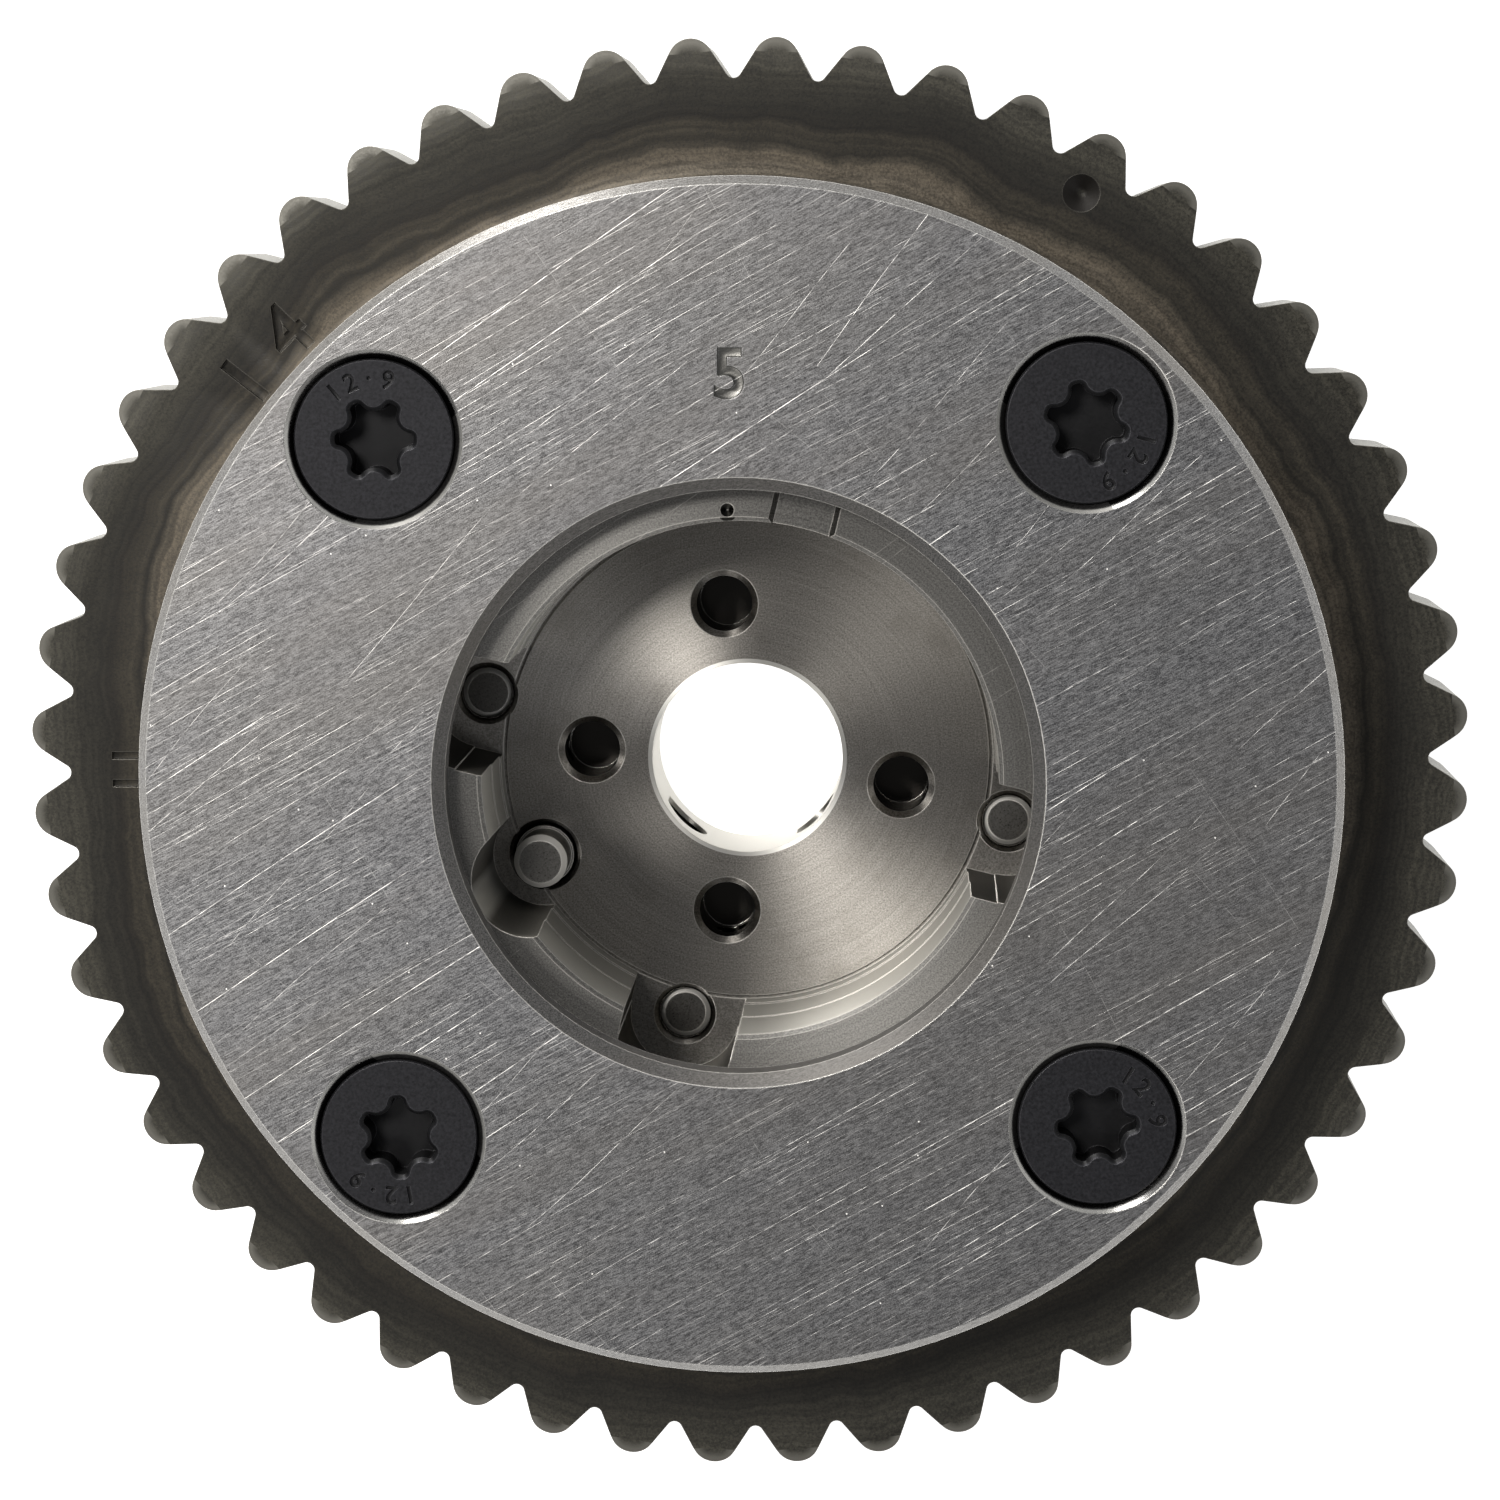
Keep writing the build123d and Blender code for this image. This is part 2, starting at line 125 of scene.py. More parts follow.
# How far the surface faces along the axis, and how far away from it, each from 0 to 1
def facings(tree):
    texture = addNode(tree, "ShaderNodeTexCoord")
    upright = addNode(tree, "ShaderNodeSeparateXYZ", None, {0: texture.outputs["Normal"]}).outputs[2]
    level = addNode(tree, "ShaderNodeMath", {"operation": "ABSOLUTE"}, {0: upright}).outputs[0]
    flat = addNode(tree, "ShaderNodeVectorMath", {"operation": "MULTIPLY"},
                   {0: texture.outputs["Object"], 1: (1, 1, 0)}).outputs[0]
    heading = addNode(tree, "ShaderNodeVectorMath", {"operation": "NORMALIZE"}, {0: flat}).outputs[0]
    outward = addNode(tree, "ShaderNodeVectorMath", {"operation": "DOT_PRODUCT"},
                      {0: heading, 1: texture.outputs["Normal"]}).outputs["Value"]
    radial = addNode(tree, "ShaderNodeMath", {"operation": "ABSOLUTE"}, {0: outward}).outputs[0]
    return level, radial


# Thin straight scratches: each cell of a stretched pattern may hold one line through its middle
def scratchLayer(tree, place, look):
    turned = addNode(tree, "ShaderNodeVectorRotate", {"rotation_type": "Z_AXIS"},
                     {"Vector": place, "Angle": radians(-look["angle"])}).outputs[0]
    bend = addNode(tree, "ShaderNodeTexNoise", {"noise_dimensions": "2D"},
                   {"Vector": turned, "Scale": 1 / look["bendLength"], "Detail": 1.0}).outputs["Color"]
    shift = addNode(tree, "ShaderNodeVectorMath", {"operation": "MULTIPLY_ADD"},
                    {0: bend, 1: (0, look["bend"], 0), 2: turned}).outputs[0]
    cells = addNode(tree, "ShaderNodeVectorMath", {"operation": "DIVIDE"},
                    {0: shift, 1: (look["length"], look["spacing"], 1)}).outputs[0]
    moved = addNode(tree, "ShaderNodeVectorMath", {"operation": "ADD"},
                    {0: cells, 1: (look["seed"], 0, 0)}).outputs[0]
    pattern = addNode(tree, "ShaderNodeTexVoronoi", {"voronoi_dimensions": "2D"},
                      {"Vector": moved, "Scale": 1.0, "Randomness": 1.0})
    away = addNode(tree, "ShaderNodeVectorMath", {"operation": "SUBTRACT"},
                   {0: moved, 1: pattern.outputs["Position"]})
    parts = addNode(tree, "ShaderNodeSeparateXYZ", None, {0: away.outputs[0]})
    chance = addNode(tree, "ShaderNodeSeparateColor", None, {0: pattern.outputs["Color"]})
    lean = addNode(tree, "ShaderNodeMapRange", None,
                   {0: chance.outputs[1], 3: -look["lean"], 4: look["lean"]}).outputs[0]
    across = addNode(tree, "ShaderNodeMath", {"operation": "MULTIPLY_ADD"},
                     {0: parts.outputs[0], 1: lean, 2: parts.outputs[1]}).outputs[0]
    distance = addNode(tree, "ShaderNodeMath", {"operation": "ABSOLUTE"}, {0: across}).outputs[0]
    line = addNode(tree, "ShaderNodeMapRange", {"interpolation_type": "SMOOTHSTEP"},
                   {0: distance, 1: 0.0, 2: look["width"] / look["spacing"], 3: 1.0, 4: 0.0}).outputs[0]
    along = addNode(tree, "ShaderNodeMath", {"operation": "ABSOLUTE"}, {0: parts.outputs[0]}).outputs[0]
    end = addNode(tree, "ShaderNodeMapRange", {"interpolation_type": "SMOOTHSTEP"},
                  {0: along, 1: 0.25, 2: 0.5, 3: 1.0, 4: 0.0}).outputs[0]
    kept = addNode(tree, "ShaderNodeMapRange", None,
                   {0: chance.outputs[0], 1: 1 - look["share"], 2: 1 - look["share"] / 2,
                    3: 0.0, 4: look["strength"]}).outputs[0]
    broken = addNode(tree, "ShaderNodeTexNoise", {"noise_dimensions": "2D"},
                     {"Vector": turned, "Scale": 0.9, "Detail": 3.0}).outputs[0]
    breaks = addNode(tree, "ShaderNodeMapRange", None,
                     {0: broken, 1: 0.38, 2: 0.6, 3: 0.25, 4: 1.0}).outputs[0]
    mask = addNode(tree, "ShaderNodeMath", {"operation": "MULTIPLY"}, {0: line, 1: end}).outputs[0]
    mask = addNode(tree, "ShaderNodeMath", {"operation": "MULTIPLY"}, {0: mask, 1: kept}).outputs[0]
    return addNode(tree, "ShaderNodeMath", {"operation": "MULTIPLY"}, {0: mask, 1: breaks}).outputs[0]


# A thin light line where an edge is worn, on the bare steels partly a painted highlight, and the normal that
# rounds it off
def wornEdge(tree, width, low, high):
    rounded = addNode(tree, "ShaderNodeBevel", {"samples": 4}, {"Radius": width * mm}).outputs[0]
    normal = addNode(tree, "ShaderNodeNewGeometry").outputs["Normal"]
    same = addNode(tree, "ShaderNodeVectorMath", {"operation": "DOT_PRODUCT"},
                   {0: rounded, 1: normal}).outputs["Value"]
    worn = addNode(tree, "ShaderNodeMapRange", None, {0: same, 1: high, 2: low, 3: 0.0, 4: 1.0}).outputs[0]
    return worn, rounded


groundLook = {
    "light": "#a7a7a8", "dark": "#5f5f61", "warm": "#8f8b86",
    "roughness": 0.35, "anisotropic": 0.32, "sheenTurn": 8,  # degrees, the way highlights stretch
    "grain": 0.09,  # mm, the wheel's grit marks, drawn coarser than the real 0.02
    "cone": "#e2e1de", "innerCone": "#dddbd7",  # how the outer and the inner chamfer tint the face's tone
    "mouth": "#b0afab", "gap": "#1d1d1e",  # a countersink's rim, painted light as a highlight, and painted shade in its depth
    "stamp": (-0.6, 29.0, 15.6), "stampReach": 3.0, "stampBelow": 15.78,  # mm, where the stamped digit lies
    "stampTone": "#6a6966",  # painted shade in its groove
    "grainTurn": 27,  # degrees, the way the wheel ran
    "middle": 32.75,  # mm from the axis, round which the edges are least worn
    "dot": 0.075, "dotSpacing": 2.6,  # mm, small nicks from handling
    "dotShare": 0.08,  # of the places for a nick, how many hold one
    "speckle": 11.0, "cloud": 0.09,  # patterns to the mm: the steel's grain, and its faint stains
    "worn": 0.12,  # mm, how wide the edges are worn
    "mouthEnd": 15.62,  # mm, where the painted light on a countersink's rim ends and the painted shade below it begins
    "scratches": [
        {"angle": 30, "length": 24, "spacing": 0.8, "width": 0.03, "lean": 0.5, "share": 0.55,
         "strength": 0.6, "bend": 1.2, "bendLength": 60, "seed": 3.1},
        {"angle": 33, "length": 46, "spacing": 1.9, "width": 0.045, "lean": 0.7, "share": 0.45,
         "strength": 1.0, "bend": 3.0, "bendLength": 80, "seed": 11.7},
        {"angle": 28, "length": 9, "spacing": 0.3, "width": 0.025, "lean": 0.8, "share": 0.45,
         "strength": 0.35, "bend": 0.8, "bendLength": 30, "seed": 23.9},
        {"angle": 46, "length": 20, "spacing": 2.4, "width": 0.035, "lean": 0.9, "share": 0.4,
         "strength": 0.6, "bend": 3.0, "bendLength": 30, "seed": 37.3},
        {"angle": 128, "length": 20, "spacing": 4.5, "width": 0.035, "lean": 1.2, "share": 0.35,
         "strength": 0.25, "bend": 2.0, "bendLength": 25, "seed": 51.2},
    ],
}


def layScratches(tree, place, layers):
    total = None
    for look in layers:
        mask = scratchLayer(tree, place, look)
        if total is None:
            total = mask
        else:
            total = addNode(tree, "ShaderNodeMath", {"operation": "MAXIMUM"}, {0: total, 1: mask}).outputs[0]
    return total


# Surface-ground steel: flat and even, with the wheel's fine lay and bright handling scratches, partly painted
# glints
def groundSteel():
    material, tree, shader = startMaterial("groundSteel", groundLook["roughness"])
    shader.inputs["Anisotropic"].default_value = groundLook["anisotropic"]
    shader.inputs["Anisotropic Rotation"].default_value = 0.25
    lay = addNode(tree, "ShaderNodeCombineXYZ", None,
                  {0: cos(radians(groundLook["sheenTurn"])),
                   1: sin(radians(groundLook["sheenTurn"]))}).outputs[0]
    tangent = addNode(tree, "ShaderNodeVectorTransform",
                      {"vector_type": "VECTOR", "convert_from": "OBJECT", "convert_to": "WORLD"},
                      {0: lay}).outputs[0]
    place, split, radius = coordinates(tree)
    facing = facings(tree)[0]
    turned = addNode(tree, "ShaderNodeVectorRotate", {"rotation_type": "Z_AXIS"},
                     {"Vector": place, "Angle": radians(-groundLook["grainTurn"])}).outputs[0]
    stretched = addNode(tree, "ShaderNodeVectorMath", {"operation": "MULTIPLY"},
                        {0: turned, 1: (0.16, 1.0, 1.0)}).outputs[0]
    grain = addNode(tree, "ShaderNodeTexNoise", None,
                    {"Vector": stretched, "Scale": 1 / groundLook["grain"], "Detail": 1.0,
                     "Roughness": 0.6}).outputs[0]
    speckle = addNode(tree, "ShaderNodeTexNoise", None,
                      {"Vector": place, "Scale": groundLook["speckle"], "Detail": 1.0,
                       "Roughness": 0.7}).outputs[0]
    cloud = addNode(tree, "ShaderNodeTexNoise", None,
                    {"Vector": stretched, "Scale": groundLook["cloud"], "Detail": 3.0,
                     "Roughness": 0.6}).outputs[0]
    both = addNode(tree, "ShaderNodeMath", {"operation": "ADD"}, {0: grain, 1: speckle}).outputs[0]
    level = addNode(tree, "ShaderNodeMapRange", None, {0: both, 1: 0.7, 2: 1.3, 3: 0.0, 4: 1.0}).outputs[0]
    tone = addNode(tree, "ShaderNodeValToRGB", None, {0: level},
                   [(0.0, linear(groundLook["dark"])), (1.0, linear(groundLook["light"]))]).outputs[0]
    tint = addNode(tree, "ShaderNodeMapRange", None, {0: cloud, 1: 0.4, 2: 0.7, 3: 0.0, 4: 0.5}).outputs[0]
    tone = addNode(tree, "ShaderNodeMix", {"data_type": "RGBA"},
                   {0: tint, 6: tone, 7: linear(groundLook["warm"])}).outputs[2]
    coned = addNode(tree, "ShaderNodeMapRange", None, {0: facing, 1: 0.9, 2: 0.8, 3: 0.0, 4: 1.0}).outputs[0]
    fromMiddle = addNode(tree, "ShaderNodeMath", {"operation": "SUBTRACT"},
                         {0: radius, 1: groundLook["middle"]}).outputs[0]
    fromMiddle = addNode(tree, "ShaderNodeMath", {"operation": "ABSOLUTE"}, {0: fromMiddle}).outputs[0]
    handled = addNode(tree, "ShaderNodeMapRange", None,
                      {0: fromMiddle, 1: 7.5, 2: 8.5, 3: 0.2, 4: 1.0}).outputs[0]
    # A countersink's depth is painted dark as shade, its rim above painted light as a highlight
    deep = addNode(tree, "ShaderNodeMapRange", None,
                   {0: split.outputs[2], 1: groundLook["mouthEnd"],
                    2: groundLook["mouthEnd"] - 0.1}).outputs[0]
    sunk = addNode(tree, "ShaderNodeMix", {"data_type": "RGBA"},
                   {0: deep, 6: linear(groundLook["mouth"]), 7: linear(groundLook["gap"])}).outputs[2]
    inner = addNode(tree, "ShaderNodeMath", {"operation": "LESS_THAN"},
                    {0: radius, 1: groundLook["middle"]}).outputs[0]
    chamfer = addNode(tree, "ShaderNodeMix", {"data_type": "RGBA"},
                      {0: inner, 6: linear(groundLook["cone"]),
                       7: linear(groundLook["innerCone"])}).outputs[2]
    chamfer = addNode(tree, "ShaderNodeMix", {"data_type": "RGBA", "blend_type": "MULTIPLY"},
                      {0: 1.0, 6: tone, 7: chamfer}).outputs[2]
    coneTone = addNode(tree, "ShaderNodeMix", {"data_type": "RGBA"},
                       {0: handled, 6: sunk, 7: chamfer}).outputs[2]
    tone = addNode(tree, "ShaderNodeMix", {"data_type": "RGBA"}, {0: coned, 6: tone, 7: coneTone}).outputs[2]
    # Inside the stamped digit the colour is painted darker as shade in its groove
    toStamp = addNode(tree, "ShaderNodeVectorMath", {"operation": "DISTANCE"},
                      {0: place, 1: groundLook["stamp"]})
    near = addNode(tree, "ShaderNodeMath", {"operation": "LESS_THAN"},
                   {0: toStamp.outputs["Value"], 1: groundLook["stampReach"]}).outputs[0]
    below = addNode(tree, "ShaderNodeMath", {"operation": "LESS_THAN"},
                    {0: split.outputs[2], 1: groundLook["stampBelow"]}).outputs[0]
    stamped = addNode(tree, "ShaderNodeMath", {"operation": "MULTIPLY"}, {0: near, 1: below}).outputs[0]
    tone = addNode(tree, "ShaderNodeMix", {"data_type": "RGBA"},
                   {0: stamped, 6: tone, 7: linear(groundLook["stampTone"])}).outputs[2]
    flat = addNode(tree, "ShaderNodeMath", {"operation": "SUBTRACT"}, {0: 1.0, 1: coned}).outputs[0]
    dots = addNode(tree, "ShaderNodeTexVoronoi", {"voronoi_dimensions": "2D"},
                   {"Vector": place, "Scale": 1 / groundLook["dotSpacing"], "Randomness": 1.0})
    dotSize = groundLook["dot"] / groundLook["dotSpacing"]
    dot = addNode(tree, "ShaderNodeMapRange", None,
                  {0: dots.outputs["Distance"], 1: dotSize, 2: dotSize / 2, 3: 0.0, 4: 1.0}).outputs[0]
    chance = addNode(tree, "ShaderNodeSeparateColor", None, {0: dots.outputs["Color"]}).outputs[0]
    few = addNode(tree, "ShaderNodeMath", {"operation": "GREATER_THAN"},
                  {0: chance, 1: 1 - groundLook["dotShare"]}).outputs[0]
    dot = addNode(tree, "ShaderNodeMath", {"operation": "MULTIPLY"}, {0: dot, 1: few}).outputs[0]
    dented = addNode(tree, "ShaderNodeMath", {"operation": "MAXIMUM"},
                     {0: layScratches(tree, place, groundLook["scratches"]), 1: dot}).outputs[0]
    scratched = addNode(tree, "ShaderNodeMath", {"operation": "MULTIPLY"}, {0: dented, 1: flat}).outputs[0]
    worn, rounded = wornEdge(tree, groundLook["worn"], 0.90, 0.995)
    worn = addNode(tree, "ShaderNodeMath", {"operation": "MULTIPLY"}, {0: worn, 1: handled}).outputs[0]
    marks = addNode(tree, "ShaderNodeMath", {"operation": "MAXIMUM"}, {0: scratched, 1: worn}).outputs[0]
    # Scratches, nicks and worn edges: real marks, painted near white partly as their glints
    colour = addNode(tree, "ShaderNodeMix", {"data_type": "RGBA"},
                     {0: marks, 6: tone, 7: linear("#fffdf8")}).outputs[2]
    rough = addNode(tree, "ShaderNodeMapRange", None,
                    {0: level, 3: groundLook["roughness"] - 0.05,
                     4: groundLook["roughness"] + 0.05}).outputs[0]
    matter = addNode(tree, "ShaderNodeMapRange", None, {0: inner, 3: -0.08, 4: 0.25}).outputs[0]
    rougher = addNode(tree, "ShaderNodeMath", {"operation": "MULTIPLY_ADD"},
                      {0: coned, 1: matter, 2: rough}).outputs[0]
    rougher = addNode(tree, "ShaderNodeMath", {"operation": "MULTIPLY_ADD"},
                      {0: marks, 1: 0.2, 2: rougher}).outputs[0]
    height = addNode(tree, "ShaderNodeMath", {"operation": "MULTIPLY_ADD"},
                     {0: scratched, 1: -3.2, 2: level}).outputs[0]
    bump = addNode(tree, "ShaderNodeBump", None,
                   {"Strength": 0.3, "Distance": 0.01 * mm, "Height": height, "Normal": rounded}).outputs[0]
    tree.links.new(colour, shader.inputs["Base Color"])
    tree.links.new(rougher, shader.inputs["Roughness"])
    tree.links.new(bump, shader.inputs["Normal"])
    tree.links.new(tangent, shader.inputs["Tangent"])
    return material


turnedLook = {
    "light": "#b2aea8", "dark": "#6e6b66", "stain": "#6c6861",
    # The pockets', holes' and punched dot's colours below are painted shade, and the central passage's colour
    # is a painted reflection of the white floor
    "wall": "#aaa8a2", "pocket": "#5f5d58", "hole": "#33312e", "bore": "#e4e2dc", "mark": "#33322f",
    "ledgeLight": "#aba9a5", "ledgeDark": "#666562",
    "roughness": 0.44, "anisotropic": 0.89,
    "feed": 0.12,  # mm between tool marks, coarser than the real 0.08 so that they show
    "ledgeFrom": 12.2,  # mm, above which the face is ground with the cover's lay
    "holeFrom": -0.4,  # mm, below which the holes are painted dark as shade
    "oiled": 0.2,  # roughness there
    "punch": (-0.87, 19.26, 12.6), "punchReach": 0.8,  # mm, the punched dot on the ledge, painted dark as shade
    "worn": 0.11,  # mm, how wide the edges are worn
    "boreEnd": 7.4,  # mm from the axis, inside which the bolt's passage is painted light as a reflection of the white floor
    "pocketFrom": 14.9,  # mm from the axis, outside which the pin pockets are
}


# Turned steel: ring-shaped tool marks spread each light into fans, with the ledge ground flat
def turnedSteel():
    material, tree, shader = startMaterial("turnedSteel", turnedLook["roughness"])
    shader.inputs["Anisotropic"].default_value = turnedLook["anisotropic"]
    shader.inputs["Anisotropic Rotation"].default_value = 0.25
    tangent = addNode(tree, "ShaderNodeTangent", {"direction_type": "RADIAL", "axis": "Z"}).outputs[0]
    place, split, radius = coordinates(tree)
    level, radial = facings(tree)
    direction = addNode(tree, "ShaderNodeVectorMath", {"operation": "NORMALIZE"}, {0: place}).outputs[0]
    heading = addNode(tree, "ShaderNodeSeparateXYZ", None, {0: direction})
    rings = addNode(tree, "ShaderNodeMath", {"operation": "DIVIDE"},
                    {0: radius, 1: turnedLook["feed"]}).outputs[0]
    ringPlace = addNode(tree, "ShaderNodeCombineXYZ", None,
                        {0: rings, 1: heading.outputs[0], 2: heading.outputs[1]}).outputs[0]
    toolMarks = addNode(tree, "ShaderNodeTexNoise", None,
                        {"Vector": ringPlace, "Scale": 1.0, "Detail": 2.0, "Roughness": 0.6}).outputs[0]
    speckle = addNode(tree, "ShaderNodeTexNoise", None,
                      {"Vector": place, "Scale": 8.0, "Detail": 2.0, "Roughness": 0.85}).outputs[0]
    stain = addNode(tree, "ShaderNodeTexNoise", None,
                    {"Vector": place, "Scale": 0.16, "Detail": 4.0, "Roughness": 0.65}).outputs[0]
    both = addNode(tree, "ShaderNodeMath", {"operation": "MULTIPLY_ADD"},
                   {0: toolMarks, 1: 0.25, 2: speckle}).outputs[0]
    fine = addNode(tree, "ShaderNodeMapRange", None, {0: both, 1: 0.42, 2: 0.83, 3: 0.0, 4: 1.0}).outputs[0]
    tone = addNode(tree, "ShaderNodeMix", {"data_type": "RGBA"},
                   {0: fine, 6: linear(turnedLook["dark"]), 7: linear(turnedLook["light"])}).outputs[2]
    smudge = addNode(tree, "ShaderNodeMapRange", None,
                     {0: stain, 1: 0.52, 2: 0.72, 3: 0.0, 4: 0.4}).outputs[0]
    tone = addNode(tree, "ShaderNodeMix", {"data_type": "RGBA"},
                   {0: smudge, 6: tone, 7: linear(turnedLook["stain"])}).outputs[2]
    ledgeTone = addNode(tree, "ShaderNodeMix", {"data_type": "RGBA"},
                        {0: fine, 6: linear(turnedLook["ledgeDark"]),
                         7: linear(turnedLook["ledgeLight"])}).outputs[2]
    onLedge = addNode(tree, "ShaderNodeMath", {"operation": "GREATER_THAN"},
                      {0: split.outputs[2], 1: turnedLook["ledgeFrom"]}).outputs[0]
    onWall = addNode(tree, "ShaderNodeMapRange", None, {0: level, 1: 0.5, 2: 0.3, 3: 0.0, 4: 1.0}).outputs[0]
    aside = addNode(tree, "ShaderNodeMapRange", None,
                    {0: radial, 1: 0.985, 2: 0.95, 3: 0.0, 4: 1.0}).outputs[0]
    outer = addNode(tree, "ShaderNodeMath", {"operation": "GREATER_THAN"},
                    {0: radius, 1: turnedLook["pocketFrom"]}).outputs[0]
    # The pin pockets' side walls are painted dark as shade
    inPocket = addNode(tree, "ShaderNodeMath", {"operation": "MULTIPLY"}, {0: onWall, 1: aside}).outputs[0]
    inPocket = addNode(tree, "ShaderNodeMath", {"operation": "MULTIPLY"}, {0: inPocket, 1: outer}).outputs[0]
    # The oil holes are painted dark as shade
    deep = addNode(tree, "ShaderNodeMapRange", None,
                   {0: split.outputs[2], 1: turnedLook["holeFrom"],
                    2: turnedLook["holeFrom"] - 0.15, 3: 0.0, 4: 1.0}).outputs[0]
    clear = addNode(tree, "ShaderNodeMath", {"operation": "GREATER_THAN"},
                    {0: radius, 1: turnedLook["boreEnd"]}).outputs[0]
    upright = addNode(tree, "ShaderNodeTexCoord").outputs["Normal"]
    upright = addNode(tree, "ShaderNodeSeparateXYZ", None, {0: upright}).outputs[2]
    above = addNode(tree, "ShaderNodeMath", {"operation": "GREATER_THAN"}, {0: upright, 1: -0.5}).outputs[0]
    inHole = addNode(tree, "ShaderNodeMath", {"operation": "MULTIPLY"}, {0: deep, 1: clear}).outputs[0]
    inHole = addNode(tree, "ShaderNodeMath", {"operation": "MULTIPLY"}, {0: inHole, 1: above}).outputs[0]
    # The bolt's passage is painted light as a reflection of the white floor
    inBore = addNode(tree, "ShaderNodeMath", {"operation": "LESS_THAN"},
                     {0: radius, 1: turnedLook["boreEnd"]}).outputs[0]
    # The punched dot's sloped sides are painted dark as shade
    leaning = addNode(tree, "ShaderNodeMapRange", None,
                      {0: level, 1: 0.97, 2: 0.9, 3: 0.0, 4: 1.0}).outputs[0]
    punched = addNode(tree, "ShaderNodeMath", {"operation": "MULTIPLY"}, {0: leaning, 1: onLedge}).outputs[0]
    toPunch = addNode(tree, "ShaderNodeVectorMath", {"operation": "DISTANCE"},
                      {0: place, 1: turnedLook["punch"]})
    near = addNode(tree, "ShaderNodeMath", {"operation": "LESS_THAN"},
                   {0: toPunch.outputs["Value"], 1: turnedLook["punchReach"]}).outputs[0]
    punched = addNode(tree, "ShaderNodeMath", {"operation": "MULTIPLY"}, {0: punched, 1: near}).outputs[0]
    base = tone
    for mask, colour in [(onLedge, ledgeTone), (punched, linear(turnedLook["mark"])),
                         (onWall, linear(turnedLook["wall"])), (inPocket, linear(turnedLook["pocket"])),
                         (inHole, linear(turnedLook["hole"])), (inBore, linear(turnedLook["bore"]))]:
        base = addNode(tree, "ShaderNodeMix", {"data_type": "RGBA"}, {0: mask, 6: base, 7: colour}).outputs[2]
    scratches = {"angle": 35, "length": 8, "spacing": 0.8, "width": 0.05, "lean": 0.6, "share": 0.3,
                 "strength": 0.5, "bend": 0.8, "bendLength": 30, "seed": 5.7}
    scratched = addNode(tree, "ShaderNodeMath", {"operation": "MULTIPLY"},
                        {0: scratchLayer(tree, place, scratches), 1: onLedge}).outputs[0]
    worn, rounded = wornEdge(tree, turnedLook["worn"], 0.90, 0.995)
    marks = addNode(tree, "ShaderNodeMath", {"operation": "MAXIMUM"}, {0: scratched, 1: worn}).outputs[0]
    # Ledge scratches and worn edges: real marks, painted near white partly as their glints
    colour = addNode(tree, "ShaderNodeMix", {"data_type": "RGBA"},
                     {0: marks, 6: base, 7: linear("#ece9e3")}).outputs[2]
    rough = addNode(tree, "ShaderNodeMapRange", None,
                    {0: fine, 3: turnedLook["roughness"] - 0.04,
                     4: turnedLook["roughness"] + 0.04}).outputs[0]
    rough = addNode(tree, "ShaderNodeMath", {"operation": "MULTIPLY_ADD"},
                    {0: onLedge, 1: 0.2, 2: rough}).outputs[0]
    rough = addNode(tree, "ShaderNodeMath", {"operation": "MULTIPLY_ADD"},
                    {0: marks, 1: 0.2, 2: rough}).outputs[0]
    rough = addNode(tree, "ShaderNodeMix", None, {0: inHole, 2: rough, 3: turnedLook["oiled"]}).outputs[0]
    bump = addNode(tree, "ShaderNodeBump", None,
                   {"Strength": 0.15, "Distance": 0.01 * mm, "Height": fine, "Normal": rounded}).outputs[0]
    tree.links.new(colour, shader.inputs["Base Color"])
    tree.links.new(rough, shader.inputs["Roughness"])
    tree.links.new(bump, shader.inputs["Normal"])
    tree.links.new(tangent, shader.inputs["Tangent"])
    return material


sinteredLook = {
    "roughness": 0.48, "metallic": 0.5,  # the oxide hides part of the metal
    # The stamped marks' and drilled dot's colour here is painted shade
    "bevel": "#6d6b64", "dent": "#1c1916",
    "bands": [  # distance from the axis in mm, colour of the steam and hardening tints on the toothed face
        (43.0, "#5d564b"), (44.2, "#524b40"), (44.8, "#3f3a31"), (45.2, "#211e18"), (45.8, "#312d25"),
        (46.4, "#2f2b23"), (47.0, "#1d1a15"), (47.8, "#201e19"), (49.4, "#2b2923"), (50.4, "#35332c"),
        (52.7, "#403e37")],
    "wobble": 2.4,  # mm that the tint lines wander
    "streak": 0.45,  # mm, the fine lines that run along them
    "pore": 0.17,  # mm, sintered pores, drawn as large as the render can show
    "dents": 46.9, "dentReach": 2.6,  # mm from the axis, where the stamped marks and the drilled dot lie, their steep sides painted dark as shade
    "teethFrom": 49.0, "drumTo": 44.5,  # mm from the axis, where the teeth begin and the plain wall ends
    "worn": 0.12, "wear": "#a9a59c",  # mm, how wide the edges are worn, and the bare steel there
    "flank": "#95948f", "drum": "#5d5a55",  # the teeth's run-in flanks and the plain wall under the cover
}


